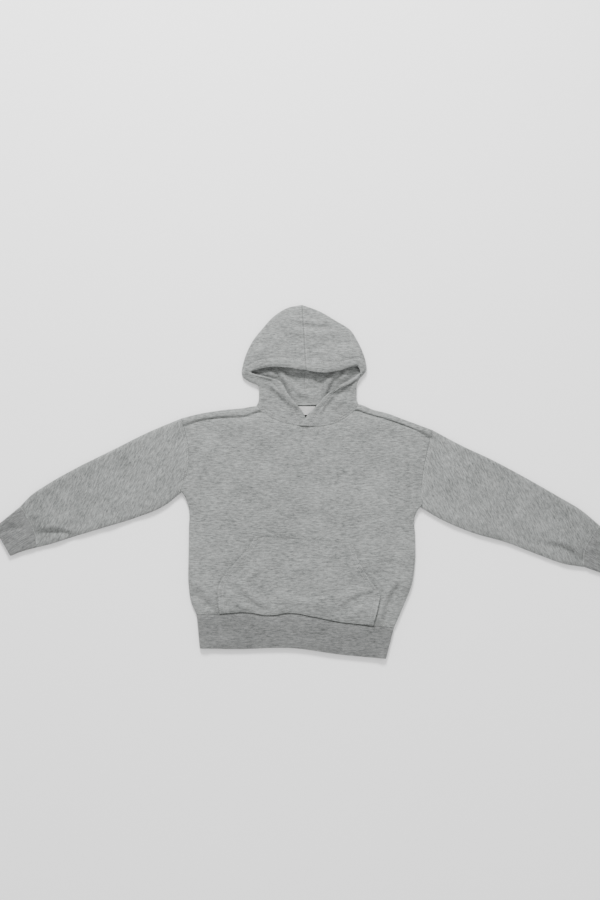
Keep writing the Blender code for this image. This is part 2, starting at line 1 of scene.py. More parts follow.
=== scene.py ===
"""Looks of the toddler hoodie: soft melange fleece, seams, stitching and creases.

The tables are in millimetres in the frame's own axes. They turn into metres where the
meshes are made. Left and right are the wearer's.
"""
import math
from collections import namedtuple

import bpy
import numpy as np
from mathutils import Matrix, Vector
from mathutils.bvhtree import BVHTree


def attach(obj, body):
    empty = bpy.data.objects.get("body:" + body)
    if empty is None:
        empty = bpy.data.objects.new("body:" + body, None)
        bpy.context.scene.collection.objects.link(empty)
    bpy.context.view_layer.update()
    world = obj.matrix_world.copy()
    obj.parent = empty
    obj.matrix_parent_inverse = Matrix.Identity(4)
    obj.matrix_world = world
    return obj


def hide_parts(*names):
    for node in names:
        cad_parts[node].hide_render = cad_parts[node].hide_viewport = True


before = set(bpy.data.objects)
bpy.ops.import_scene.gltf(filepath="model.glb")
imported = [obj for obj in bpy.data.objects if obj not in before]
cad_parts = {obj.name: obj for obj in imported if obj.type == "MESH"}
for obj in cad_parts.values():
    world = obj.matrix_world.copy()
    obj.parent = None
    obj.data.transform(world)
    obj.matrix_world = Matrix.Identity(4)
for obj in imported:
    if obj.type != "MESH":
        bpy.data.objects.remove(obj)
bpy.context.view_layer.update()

METRES = 0.001           # in a millimetre
SHARP_ANGLE = math.radians(70)

# Driving sizes
WALL = 2.2               # brushed fleece
RIB_WALL = 2.0           # cuffs
POCKET_WALL = 2.2
LABEL_WALL = 0.4
GAP = 0.3                # between two pieces at a seam
FOLD_RADIUS = 3.8        # round of an outer edge: two walls with the seam allowances inside
EDGE_HEIGHT = 2 * FOLD_RADIUS
REST_HEIGHT = 5.4        # top of the upper layer where it lies on the lower one
LOWEST_HEIGHT = 4.9      # an upper layer never sinks deeper than this
EDGE_REACH = 10.0        # how far inwards an edge holds the upper layer up
CROSSOVER_LIFT = 3.2     # the left hood panel lies over the right one at the collar
CROSSOVER_EDGE = 0.5     # as far as this x, and comes down by the next
CROSSOVER_END = 26.0
BROW_LINE = 7            # the first hood section past the corner of the face opening

Side = namedtuple("Side", "name right_x right_y left_x left_y")
BODY_SIDES = (
    Side("hem", -179.5, -213.0, 134.5, -234.0),
    Side("blouse", -188.5, -191.5, 150.5, -197.0),
    Side("pocket", -192.5, -164.0, 162.0, -168.0),
    Side("waist", -192.5, -123.0, 168.0, -128.0),
    Side("rib", -192.0, -78.0, 168.0, -86.0),
    Side("chest", -192.5, -42.0, 167.5, -58.0),
    Side("below_arm", -200.0, -22.0, 173.5, -44.5),
)

# An armhole runs from the shoulder tip to the underarm, and bows towards the body.
Section = namedtuple("Section", "name top_x top_y low_x low_y bow")
RIGHT_SLEEVE = (
    Section("armhole", -203.5, 99.5, -203.0, -18.0, 11.5),
    Section("upper", -254.0, 78.5, -233.0, -41.0, 3.0),
    Section("biceps", -311.5, 50.0, -279.5, -60.0, 0.0),
    Section("elbow", -372.0, 20.0, -330.5, -75.5, 0.0),
    Section("forearm", -421.0, -8.0, -381.5, -91.0, 2.0),
    Section("above_cuff", -443.5, -23.5, -413.0, -101.0, 5.0),
    Section("cuff_seam", -461.0, -41.5, -434.0, -106.0, 7.0),
)
LEFT_SLEEVE = (
    Section("armhole", 195.5, 81.0, 175.5, -41.5, 4.5),
    Section("upper", 238.5, 58.0, 209.5, -61.5, 2.0),
    Section("biceps", 292.5, 32.5, 262.0, -83.5, 0.0),
    Section("elbow", 347.5, 3.0, 313.0, -98.0, 0.0),
    Section("forearm", 399.0, -26.5, 369.0, -119.5, 3.0),
    Section("above_cuff", 431.0, -45.5, 402.5, -131.5, 7.0),
    Section("cuff_seam", 463.0, -72.0, 438.0, -137.5, 11.0),
)
RIGHT_CUFF = (
    RIGHT_SLEEVE[-1],
    Section("middle", -482.5, -59.0, -454.5, -111.5, 4.0),
    Section("opening", -502.5, -75.0, -475.5, -119.5, 1.0),
)
LEFT_CUFF = (
    LEFT_SLEEVE[-1],
    Section("middle", 483.0, -89.5, 459.5, -145.0, 6.0),
    Section("opening", 503.0, -106.0, 481.0, -152.0, 1.0),
)
# Where the panels' rows meet an armhole, as fractions from its tip to the underarm
ARMHOLE_STOPS = (0.0, 0.11, 0.2, 0.3, 0.45, 0.62, 0.8, 1.0)
SHOULDER_STOP = ARMHOLE_STOPS[1]

Place = namedtuple("Place", "x y")
HEM_SEAM = (
    Place(-179.5, -213.0), Place(-142.5, -211.5), Place(-101.0, -209.0),
    Place(-64.5, -214.0), Place(-29.5, -210.0), Place(9.0, -216.5),
    Place(47.0, -224.0), Place(84.0, -228.5), Place(134.5, -234.0),
)
HEM_FOOT = (
    Place(-174.5, -266.5), Place(-110.0, -267.5), Place(-50.0, -265.5),
    Place(-15.0, -267.0), Place(47.0, -276.0), Place(122.0, -283.0),
)
RIGHT_SHOULDER_SEAM = (
    Place(-199.5, 86.5), Place(-171.5, 96.0), Place(-147.0, 99.5),
    Place(-117.0, 100.5), Place(-93.0, 103.5), Place(-74.5, 109.0),
)
LEFT_SHOULDER_SEAM = (
    Place(70.5, 110.5), Place(99.5, 104.5), Place(130.0, 95.5),
    Place(163.5, 83.0), Place(193.0, 69.0),
)
RIGHT_SHOULDER_EDGE = (
    Place(-203.5, 99.5), Place(-180.5, 105.5), Place(-153.5, 110.5),
    Place(-121.5, 114.5), Place(-94.5, 116.5), Place(-84.5, 119.0),
)
LEFT_SHOULDER_EDGE = (
    Place(78.0, 122.0), Place(90.0, 116.5), Place(127.0, 106.5),
    Place(157.0, 95.0), Place(181.0, 86.5), Place(195.5, 81.0),
)
# The collar seam, from the right neck corner round the front to the left one
NECK_SEAM = (
    Place(-84.5, 119.0), Place(-74.5, 109.0), Place(-62.5, 101.5),
    Place(-47.5, 95.0), Place(-32.0, 90.5), Place(-16.5, 88.0),
    Place(-0.5, 86.5), Place(13.5, 86.5), Place(28.0, 88.5),
    Place(42.5, 92.5), Place(56.5, 100.0), Place(70.5, 110.5),
    Place(78.0, 122.0),
)
RIGHT_PANEL_END = 6      # the right hood panel reaches this place of the collar seam
LEFT_PANEL_END = 5       # the left one crosses over it, to this place
BACK_NECK = Place(-6.5, 120.4)
CROWN = Place(-11.5, 273.5)
SHOULDER_PARTS = 5       # columns across each shoulder

# A hood section starts on the seam over the middle of the head at the back, comes round
# the outer edge and ends at the free edge of the face opening, or on the seam again.
Hood = namedtuple("Hood", "name edge_x edge_y free_x free_y middle_height free_height")
RIGHT_HOOD = (
    Hood("neck", -84.5, 119.0, -0.5, 86.5, 5.4, 5.4),
    Hood("collar", -81.0, 127.0, -9.5, 107.5, 5.6, 5.6),
    Hood("throat", -80.5, 141.5, -21.5, 123.0, 6.0, 11.0),
    Hood("jaw", -81.5, 151.0, -35.0, 140.0, 6.8, 14.0),
    Hood("cheek", -94.5, 157.0, -46.0, 157.5, 9.0, 14.0),
    Hood("temple", -105.0, 164.0, -69.0, 165.5, 10.0, 12.0),
    Hood("corner", -108.0, 171.0, -92.0, 172.0, 9.0, 9.5),
    Hood("brow_side", -106.0, 184.0, -83.5, 176.5, 10.0, 11.5),
    Hood("brow", -100.0, 203.5, -69.0, 180.5, 11.5, 14.5),
    Hood("brim", -90.0, 223.0, -55.0, 181.5, 13.0, 16.5),
    Hood("brim_half", -74.5, 242.5, -40.5, 180.5, 13.5, 17.5),
    Hood("brim_near", -56.5, 262.0, -27.5, 179.0, 13.5, 18.0),
    Hood("crown_side", -35.5, 275.0, -16.5, 177.0, 13.5, 18.0),
    Hood("middle", -12.0, 280.0, -5.5, 176.0, 13.5, 18.0),
)
LEFT_HOOD = (
    Hood("neck", 78.0, 122.0, -16.5, 88.0, 5.4, 5.4),
    Hood("collar", 75.0, 132.0, 0.0, 108.0, 6.4, 6.0),
    Hood("throat", 75.0, 143.0, 13.0, 121.5, 6.4, 11.0),
    Hood("jaw", 75.5, 153.5, 25.0, 135.0, 6.8, 13.0),
    Hood("cheek", 80.0, 162.5, 42.5, 146.5, 8.5, 13.0),
    Hood("temple", 86.0, 169.0, 64.5, 156.5, 9.0, 11.0),
    Hood("corner", 90.5, 175.5, 80.0, 170.0, 8.5, 9.0),
    Hood("brow_side", 90.0, 188.0, 77.5, 181.5, 9.5, 11.0),
    Hood("brow", 84.5, 206.0, 65.5, 181.0, 11.0, 14.0),
    Hood("brim", 76.0, 223.5, 52.0, 176.5, 12.5, 16.0),
    Hood("brim_half", 65.5, 239.5, 39.0, 173.5, 13.0, 17.0),
    Hood("brim_near", 42.5, 254.5, 26.5, 172.0, 13.0, 18.0),
    Hood("crown_side", 14.5, 270.5, 9.5, 173.0, 13.5, 18.0),
    Hood("middle", -12.0, 280.0, -5.5, 176.0, 13.5, 18.0),
)
BACK_PARTS = 4           # columns of a hood section between the back seam and the edge

Row = namedtuple("Row", "name right_x right_y left_x left_y")
POCKET = (
    Row("foot", -143.0, -209.0, 101.0, -228.0),
    Row("side", -145.0, -190.0, 108.5, -201.0),
    Row("corner", -145.0, -170.5, 111.5, -179.0),
    Row("opening_low", -138.0, -153.0, 103.0, -167.0),
    Row("opening_half", -117.0, -129.5, 89.0, -146.0),
    Row("opening_high", -98.0, -107.0, 76.5, -121.0),
    Row("top", -86.5, -88.0, 69.5, -99.0),
)
POCKET_COLUMNS = 14
LABEL = Row("neck_label", -21.5, 105.0, 9.0, 118.5)

# Only the largest folds: each is a low ridge from start to end, as wide as it says on
# either side of its line.
Fold = namedtuple("Fold", "name start_x start_y end_x end_y width height")
CLOTH_FOLDS = (
    Fold("blouse_right", -180.0, -172.0, -168.0, -200.0, 8.0, 2.6),
    Fold("blouse_left", 149.0, -165.0, 137.0, -204.0, 8.0, 2.8),
    Fold("armhole_right", -160.0, 66.0, -188.0, -8.0, 14.0, 2.0),
    Fold("armhole_left", 142.0, 44.0, 150.0, -32.0, 14.0, 2.0),
    Fold("wrist_right", -428.0, -62.0, -372.0, -62.0, 11.0, 2.4),
    Fold("wrist_left", 418.0, -88.0, 366.0, -78.0, 11.0, 2.2),
    Fold("elbow_right", -330.0, -28.0, -290.0, -38.0, 14.0, 1.6),
    Fold("elbow_left", 306.0, -40.0, 268.0, -56.0, 14.0, 1.6),
)
HOOD_FOLDS = (Fold("crown", -30.0, 251.0, 36.0, 239.0, 9.0, 2.2),)


def between(a, b, share):
    """The point at a share of the way from a to b."""
    return tuple(p + (q - p) * share for p, q in zip(a, b))


def moved(point, direction, distance):
    """A plan point moved along a unit direction."""
    return point[0] + direction[0] * distance, point[1] + direction[1] * distance


def unit(a, b):
    """The unit plan direction from a to b."""
    length = math.dist(a[:2], b[:2])
    return (b[0] - a[0]) / length, (b[1] - a[1]) / length


def height_on(places, x):
    """y on a smooth curve through places that follow each other in x."""
    last = len(places) - 2
    i = 0
    while i < last and x > places[i + 1].x:
        i += 1
    a, b = places[i], places[i + 1]
    before = places[max(i - 1, 0)]
    after = places[min(i + 2, len(places) - 1)]
    share = (x - a.x) / (b.x - a.x)
    slope_a = (b.y - before.y) / (b.x - before.x) * (b.x - a.x)
    slope_b = (after.y - a.y) / (after.x - a.x) * (b.x - a.x)
    cube, square = share ** 3, share ** 2
    return ((2 * cube - 3 * square + 1) * a.y + (cube - 2 * square + share) * slope_a
            + (3 * square - 2 * cube) * b.y + (cube - square) * slope_b)


def to_segment(point, a, b):
    """Distance in plan from a point to the segment from a to b."""
    along = (b[0] - a[0], b[1] - a[1])
    length = along[0] ** 2 + along[1] ** 2
    share = ((point[0] - a[0]) * along[0] + (point[1] - a[1]) * along[1]) / length
    share = min(1.0, max(0.0, share))
    return math.dist(point[:2], moved(a, along, share))


def folded_edges():
    """The outer edges where an upper layer turns under, as runs of plan points."""
    right_side = [(s.right_x, s.right_y) for s in BODY_SIDES]
    left_side = [(s.left_x, s.left_y) for s in BODY_SIDES]
    band_ends = [(HEM_FOOT[0].x, HEM_FOOT[0].y), (HEM_FOOT[-1].x, HEM_FOOT[-1].y)]
    runs = [band_ends[:1] + right_side, band_ends[1:] + left_side,
            [(p.x, p.y) for p in RIGHT_SHOULDER_EDGE],
            [(p.x, p.y) for p in LEFT_SHOULDER_EDGE]]
    for sections in (RIGHT_SLEEVE + RIGHT_CUFF, LEFT_SLEEVE + LEFT_CUFF):
        runs.append([(s.top_x, s.top_y) for s in sections])
        runs.append([(s.low_x, s.low_y) for s in sections])
    segments = []
    for run in runs:
        segments += [(a, b) for a, b in zip(run, run[1:]) if a != b]
    return segments


EDGES = folded_edges()


def fold_height(point, folds):
    """How much the folds lift the cloth at a plan point."""
    lift = 0.0
    for fold in folds:
        away = to_segment(point, (fold.start_x, fold.start_y), (fold.end_x, fold.end_y))
        lift += fold.height * math.exp(-((away / fold.width) ** 2))
    return lift


def top_height(point, folds=CLOTH_FOLDS):
    """Top of the upper layer: it rests on the lower one and rises to the folded edges."""
    away = min(to_segment(point, a, b) for a, b in EDGES)
    inwards = max(0.0, away - FOLD_RADIUS) / EDGE_REACH
    rise = (EDGE_HEIGHT - REST_HEIGHT) * math.exp(-inwards ** 2)
    return max(LOWEST_HEIGHT, REST_HEIGHT + rise + fold_height(point, folds))


def edge_turn(degrees):
    """Distance in from the outline and height, round an edge: 0 is below, 180 on top."""
    angle = math.radians(degrees)
    return FOLD_RADIUS - FOLD_RADIUS * math.sin(angle), FOLD_RADIUS - FOLD_RADIUS * math.cos(angle)


ROLL = 45                # degrees between two rows of a turned edge
FLAT_STEPS = tuple(edge_turn(180 - ROLL * i)[0] for i in (2, 1, 0))


def on_section(section, share):
    """Plan point on a sleeve section, which bows towards the body."""
    top, low = (section.top_x, section.top_y), (section.low_x, section.low_y)
    along = unit(top, low)
    inwards = -1 if section.top_x > 0 else 1
    across = (-inwards * along[1], -inwards * along[0])
    bow = section.bow * math.sin(math.pi * share)
    return moved(between(top, low, share), across, bow)


def stopped(section, share):
    """The same, on the straight runs between the armhole's stops."""
    for a, b in zip(ARMHOLE_STOPS, ARMHOLE_STOPS[1:]):
        if share <= b:
            part = (share - a) / (b - a)
            return between(on_section(section, a), on_section(section, b), part)
    return on_section(section, 1.0)


def section_ring(section):
    """A flattened ring of a sleeve or cuff, from its top edge round and back."""
    length = math.dist((section.top_x, section.top_y), (section.low_x, section.low_y))
    upper, lower = [], []
    for turn in (90, 135):
        distance, height = edge_turn(turn)
        upper.append((distance / length, height))
        lower.append((distance / length, EDGE_HEIGHT - height))
    flat = [FOLD_RADIUS / length, *ARMHOLE_STOPS[1:-1], 1 - FOLD_RADIUS / length]
    ring = [stopped(section, share) + (height,) for share, height in upper]
    for share in flat:
        place = stopped(section, share)
        ring.append(place + (top_height(place),))
    ring += [stopped(section, 1 - share) + (height,) for share, height in reversed(upper)]
    ring.append(stopped(section, 1 - lower[1][0]) + (lower[1][1],))
    ring += [stopped(section, share) + (0.0,) for share in reversed(flat)]
    ring.append(stopped(section, lower[1][0]) + (lower[1][1],))
    return ring


def column_shares():
    """Where the body's columns stand across it, as shares of the shoulder seams' span."""
    start, end = RIGHT_SHOULDER_SEAM[0].x, LEFT_SHOULDER_SEAM[-1].x
    neck = [place.x for place in NECK_SEAM[1:-1]]
    right = [start + (neck[0] - start) * i / SHOULDER_PARTS for i in range(1, SHOULDER_PARTS)]
    left = [neck[-1] + (end - neck[-1]) * i / SHOULDER_PARTS for i in range(1, SHOULDER_PARTS)]
    return [(x - start) / (end - start) for x in right + neck + left]


COLUMNS = column_shares()
FIRST_NECK_COLUMN = len(FLAT_STEPS) + SHOULDER_PARTS - 1
LAST_NECK_COLUMN = FIRST_NECK_COLUMN + len(NECK_SEAM) - 3


def flat_row(right, left, curve=None):
    """Plan points of a body row, from its right end to its left one."""
    def at(share):
        x, y = between(right, left, share)
        return (x, height_on(curve, x)) if curve else (x, y)
    length = math.dist(right, left)
    ends = [distance / length for distance in FLAT_STEPS]
    return [at(s) for s in ends + COLUMNS + [1 - s for s in reversed(ends)]]


def body_rows():
    """The rows that both panels share: up the sides, then up the armholes."""
    hem = BODY_SIDES[0]
    rows = [flat_row((hem.right_x, hem.right_y), (hem.left_x, hem.left_y), HEM_SEAM)]
    rows += [flat_row((s.right_x, s.right_y), (s.left_x, s.left_y)) for s in BODY_SIDES[1:]]
    for share in reversed(ARMHOLE_STOPS[2:]):
        ends = [on_section(sleeve[0], share) for sleeve in (RIGHT_SLEEVE, LEFT_SLEEVE)]
        rows.append(flat_row(*ends))
    return rows


def rolled(row, upper):
    """A row whose two ends turn round the body's side, down or up to the side seam."""
    length = math.dist(row[0], row[-1])
    turns = (90, 135, 180) if upper else (90, 45, 0)
    seam = GAP / 2 if upper else -GAP / 2
    ends = []
    for turn in turns:
        distance, height = edge_turn(turn)
        ends.append((distance / length, height + (seam if turn == 90 else 0.0)))
    points = [between(row[0], row[-1], share) + (height,) for share, height in ends]
    for place in row[3:-3]:
        points.append(place + (top_height(place) if upper else 0.0,))
    points += [between(row[-1], row[0], share) + (z,) for share, z in reversed(ends)]
    return points


def layer(row, upper):
    """A row that ends at an armhole, with no turned ends."""
    return [place + (top_height(place) if upper else 0.0,) for place in row]


def panel_rows(upper):
    """Rows of the front panel's upper layer, or of the back panel's lower one."""
    grid = []
    for index, row in enumerate(body_rows()):
        points = rolled(row, upper) if index < len(BODY_SIDES) else layer(row, upper)
        if index == 0:  # the turned ends follow the hem seam's curve as well
            points = [(x, height_on(HEM_SEAM, x), z) for x, _, z in points]
        grid.append(points)
    return grid


def shoulder_columns(seam, start, end):
    """Plan points on a shoulder seam, from x = start to x = end."""
    xs = [start + (end - start) * i / SHOULDER_PARTS for i in range(SHOULDER_PARTS + 1)]
    return [(x, height_on(seam, x)) for x in xs]


def seam_row():
    """The front panel's upper edge: shoulder seam, collar seam, shoulder seam."""
    right_end = on_section(RIGHT_SLEEVE[0], SHOULDER_STOP)
    left_end = on_section(LEFT_SLEEVE[0], SHOULDER_STOP)
    neck = [(p.x, p.y) for p in NECK_SEAM[1:-1]]
    right = shoulder_columns(RIGHT_SHOULDER_SEAM, RIGHT_SHOULDER_SEAM[0].x, neck[0][0])
    left = shoulder_columns(LEFT_SHOULDER_SEAM, neck[-1][0], LEFT_SHOULDER_SEAM[-1].x)
    row = [moved(right_end, unit(right_end, right[1]), d) for d in FLAT_STEPS]
    row += right[1:-1] + neck + left[1:-1]
    row += [moved(left_end, unit(left_end, left[-2]), d) for d in reversed(FLAT_STEPS)]
    return row


def shoulder_edge_points():
    """Outline points of both shoulders, with the collar's back edge between them."""
    corner_right = (NECK_SEAM[0].x, NECK_SEAM[0].y)
    corner_left = (NECK_SEAM[-1].x, NECK_SEAM[-1].y)
    tips = [(s[0].top_x, s[0].top_y) for s in (RIGHT_SLEEVE, LEFT_SLEEVE)]
    right = shoulder_columns(RIGHT_SHOULDER_EDGE, tips[0][0], corner_right[0])
    left = shoulder_columns(LEFT_SHOULDER_EDGE, corner_left[0], tips[1][0])
    count = len(NECK_SEAM) - 3
    neck = [between(corner_right, corner_left, i / count) for i in range(1, count)]
    row = [moved(tips[0], unit(tips[0], right[1]), d) for d in FLAT_STEPS]
    row += right[1:] + neck + left[:-1]
    row += [moved(tips[1], unit(tips[1], left[-2]), d) for d in reversed(FLAT_STEPS)]
    return row


def turned_shoulder(turn):
    """A row of the back panel where it comes over the shoulders' edges."""
    distance, height = edge_turn(turn)
    row = []
    edge = shoulder_edge_points()
    last = len(edge) - 1
    for column, place in enumerate(edge):
        if column in (0, last):
            sleeve = (RIGHT_SLEEVE if column == 0 else LEFT_SLEEVE)[0]
            along = unit(on_section(sleeve, 0.0), on_section(sleeve, SHOULDER_STOP))
        elif column in (FIRST_NECK_COLUMN, LAST_NECK_COLUMN) and turn > 90:
            first, second = (0, 1) if column == FIRST_NECK_COLUMN else (-1, -2)
            along = unit(NECK_SEAM[first], NECK_SEAM[second])
        elif FIRST_NECK_COLUMN < column < LAST_NECK_COLUMN:
            along = (0.0, 0.0)
        else:
            along = (0.0, -1.0)
        row.append(moved(place, along, distance) + (height,))
    return row


def flap_end():
    """The back panel's edge on the front, a gap above the shoulder seams."""
    row = []
    for column, (x, y) in enumerate(seam_row()):
        along = (0.0, 1.0)
        if column == FIRST_NECK_COLUMN:
            along = unit(NECK_SEAM[1], NECK_SEAM[0])
        elif column == LAST_NECK_COLUMN:
            along = unit(NECK_SEAM[-2], NECK_SEAM[-1])
        place = moved((x, y), along, GAP)
        row.append(place + (top_height(place),))
    return row


def edge_normal(sections, index):
    """Inward plan direction across a hood's outline at one section."""
    before, after = sections[index - 1], sections[min(index + 1, len(sections) - 1)]
    along = unit((before.edge_x, before.edge_y), (after.edge_x, after.edge_y))
    inwards = 1 if sections[0].edge_x < 0 else -1
    return inwards * along[1], -inwards * along[0]


def hood_section(sections, index, collar):
    """One section of a hood panel, from the back seam round the edge to its free end."""
    section = sections[index]
    edge = (section.edge_x, section.edge_y)
    free = (section.free_x, section.free_y)
    lengths = [0.0]
    for a, b in zip(collar, collar[1:]):
        lengths.append(lengths[-1] + math.dist(a, b))
    shares = [length / lengths[-1] for length in lengths[1:]]
    back = between(BACK_NECK, CROWN, index / (len(sections) - 1))
    if index == 0:
        below, above = unit(edge, back), unit(edge, collar[1])
        front = [tuple(place) for place in collar[1:]]
    elif index == len(sections) - 1:
        below = above = unit(edge, free)
    else:
        below = above = edge_normal(sections, index)
    if index > 0:
        start = moved(edge, above, FOLD_RADIUS)
        front = [between(start, free, share) for share in shares]
    low_start = moved(edge, below, FOLD_RADIUS)
    points = []
    for column in range(BACK_PARTS):
        points.append(between(back, low_start, column / BACK_PARTS) + (0.0,))
    for turn in range(0, 181, ROLL):
        distance, height = edge_turn(turn)
        points.append(moved(edge, below if turn <= 90 else above, distance) + (height,))
    for share, place in zip(shares, front):
        to_middle = (1 - share) * (1 - 2 * share) * EDGE_HEIGHT
        middle = 4 * share * (1 - share) * section.middle_height
        height = to_middle + middle + share * (2 * share - 1) * section.free_height
        if index >= BROW_LINE:
            height += fold_height(place, HOOD_FOLDS)
        elif sections is LEFT_HOOD and index < 2:
            clear = (CROSSOVER_END - place[0]) / (CROSSOVER_END - CROSSOVER_EDGE)
            height += CROSSOVER_LIFT * min(1.0, max(0.0, clear))
        points.append(place + (height,))
    return points


# The cloth's relief
STEP = 2.6               # spacing of the fine cloth's points
SPACING = STEP

# Creases are listed one by one: ridges, or troughs where the height is negative. bend is how
# far the middle stands aside of the straight line, and width is to either side of it.
Crease = namedtuple("Crease", "start_x start_y end_x end_y bend width height")
CREASE_DEPTH = 1.3       # all the creases' heights are scaled by this
CREASE_END = 0.25        # share of its height that a crease keeps at its ends
BODY_CREASES = (
    Crease(-186, -160, -146, -203, 4, 5.0, 3.2), Crease(-192, -176, -150, -210, 3, 4.0, -2.4),
    Crease(-176, -146, -140, -176, -5, 9.0, 1.6), Crease(140, -152, 112, -222, -6, 5.0, 3.2),
    Crease(152, -158, 120, -224, -6, 4.5, -2.4), Crease(158, -150, 138, -206, -4, 7.0, 2.2),
    Crease(-166, 66, -198, -8, -7, 6.0, -2.0), Crease(-152, 60, -184, -20, -7, 9.0, 2.2),
    Crease(150, 40, 160, -34, 4, 5.0, -2.0), Crease(140, 38, 150, -40, 4, 8.0, 1.8),
    Crease(-120, 92, -70, 76, 5, 12.0, 1.4), Crease(96, 92, 60, 72, -5, 12.0, 1.4),
    Crease(-100, 40, 10, 30, 8, 18.0, 1.0), Crease(-60, -10, 80, -24, -8, 20.0, 1.1),
    Crease(-150, -50, -60, -62, 7, 15.0, 1.0), Crease(90, -60, 150, -92, -6, 14.0, 1.2),
    Crease(-170, -92, -120, -110, 5, 12.0, 1.2), Crease(120, -116, 160, -140, 4, 9.0, 1.4),
    Crease(30, 60, 120, 20, 9, 16.0, 1.0), Crease(-30, -46, 60, -54, 4, 11.0, 0.9),
)
POCKET_CREASES = (
    Crease(-120, -167, -64, -211, -7, 5.0, -2.6), Crease(-112, -160, -58, -200, -7, 6.5, 3.0),
    Crease(-128, -178, -86, -208, -4, 6.0, 2.2), Crease(-88, -124, -117, -158, 4, 5.5, -2.2),
    Crease(-78, -126, -104, -160, 4, 7.0, 1.8), Crease(-53, -170, 22, -180, -5, 5.5, -1.8),
    Crease(-50, -182, 26, -192, -5, 7.0, 2.0), Crease(50, -206, 108, -182, 5, 5.0, -2.4),
    Crease(44, -196, 100, -172, 5, 7.0, 2.4), Crease(60, -216, 104, -200, 3, 6.0, 1.8),
    Crease(20, -120, 60, -136, 5, 11.0, 1.0), Crease(-40, -130, 10, -140, 4, 12.0, 0.9),
)
SLEEVE_CREASES = (
    Crease(-434, -84, -372, -88, 5, 4.5, -2.4), Crease(-436, -76, -376, -80, 5, 5.5, 2.6),
    Crease(-430, -60, -388, -62, -3, 6.0, 1.8), Crease(-452, -60, -424, -52, 2, 4.0, 1.6),
    Crease(-340, -20, -296, -46, 6, 11.0, 1.4), Crease(-270, 40, -240, -20, -8, 12.0, 1.5),
    Crease(-390, -30, -356, -52, 4, 9.0, 1.4), Crease(-226, 70, -212, 0, -5, 8.0, 1.3),
    Crease(-320, 14, -300, -30, 6, 10.0, 1.2), Crease(434, -128, 376, -102, -6, 4.5, -2.4),
    Crease(436, -120, 384, -94, -6, 5.5, 2.5), Crease(450, -94, 414, -72, 3, 5.0, 2.0),
    Crease(420, -60, 392, -72, 3, 7.0, 1.3), Crease(300, -10, 270, -52, 7, 11.0, 1.4),
    Crease(350, -24, 322, -66, 6, 11.0, 1.4), Crease(230, 46, 214, -24, 6, 10.0, 1.5),
    Crease(262, 30, 240, -30, 6, 11.0, 1.2), Crease(392, -50, 366, -84, 5, 9.0, 1.3),
)
BAND_CREASES = (
    Crease(-150, -214, -146, -262, 2, 6.0, 1.0), Crease(-60, -214, -58, -262, -2, 7.0, 1.2),
    Crease(40, -224, 44, -272, 2, 6.5, 1.1), Crease(88, -232, 92, -278, 2, 5.5, 1.3),
    Crease(-104, -211, -102, -262, 2, 8.0, 0.8), Crease(-12, -214, -10, -264, 2, 7.0, 0.9),
    Crease(-485, -66, -462, -92, 3, 4.0, -1.6), Crease(-500, -88, -452, -72, 2, 4.0, -1.8),
    Crease(498, -118, 452, -100, -2, 4.0, -1.8), Crease(490, -100, 460, -120, 3, 4.5, -1.2),
)
HOOD_TOP_CREASES = (
    Crease(-34, 255, 37, 244, -5, 4.0, -2.2), Crease(-36, 262, 36, 252, -5, 6.0, 1.8),
    Crease(-44, 244, 34, 234, -5, 7.0, 2.0), Crease(2, 208, 28, 213, 2, 4.0, -1.8),
    Crease(-2, 193, 12, 198, 2, 3.5, -1.6), Crease(6, 200, 32, 205, 2, 5.0, 1.4),
    Crease(-88, 196, -60, 214, 4, 8.0, 1.5), Crease(70, 198, 50, 216, 4, 8.0, 1.5),
    Crease(-70, 226, -40, 216, 4, 9.0, 1.2), Crease(44, 232, 64, 214, 4, 8.0, 1.2),
)
COLLAR_CREASES = (
    Crease(-75, 150, -36, 118, 4, 5.0, -4.6), Crease(-84, 156, -20, 112, 6, 6.5, 3.6),
    Crease(57, 145, 22, 106, -4, 4.5, -3.6), Crease(68, 149, 58, 139, 0, 3.0, -2.2),
    Crease(72, 153, 12, 104, -5, 6.0, 2.6), Crease(-78, 125, -66, 126, 0, 2.5, -1.6),
    Crease(40, 120, 62, 132, 3, 6.0, 1.8), Crease(-50, 108, -20, 100, 3, 7.0, 1.2),
)
INNER_CREASES = (
    Crease(-52, 178, -30, 140, 4, 4.5, 5.2), Crease(-74, 172, -50, 166, 2, 5.0, 3.0),
    Crease(43, 174, 22, 134, -4, 4.5, 5.2), Crease(62, 176, 44, 160, 2, 7.0, 3.4),
    Crease(-34, 168, -12, 142, 3, 4.0, -1.6), Crease(-30, 158, -14, 138, 3, 4.5, 2.0),
    Crease(2, 170, 14, 150, -3, 3.5, 2.4), Crease(-8, 166, -6, 146, 1, 4.0, 1.8),
    Crease(18, 168, 30, 158, 2, 4.0, 1.6), Crease(-22, 138, 6, 132, 3, 5.0, 1.6),
    Crease(-26, 150, -4, 136, -2, 3.5, 1.4),
)
# Waves over the whole cloth: radians for each millimetre along x and y, phase and height
Ripple = namedtuple("Ripple", "along_x along_y phase height")
RIPPLES = (
    Ripple(0.115, 0.03, 0.7, 0.42), Ripple(0.02, 0.098, 2.1, 0.40),
    Ripple(0.083, -0.071, 4.4, 0.34), Ripple(-0.06, 0.15, 1.3, 0.24),
    Ripple(0.19, 0.07, 3.3, 0.17), Ripple(-0.14, 0.21, 5.2, 0.12),
)
WANDER = 1.3             # how far a ripple's phase wanders, in radians
WANDER_RATE = 0.7        # how fast, as a share of the ripple's own rate along x


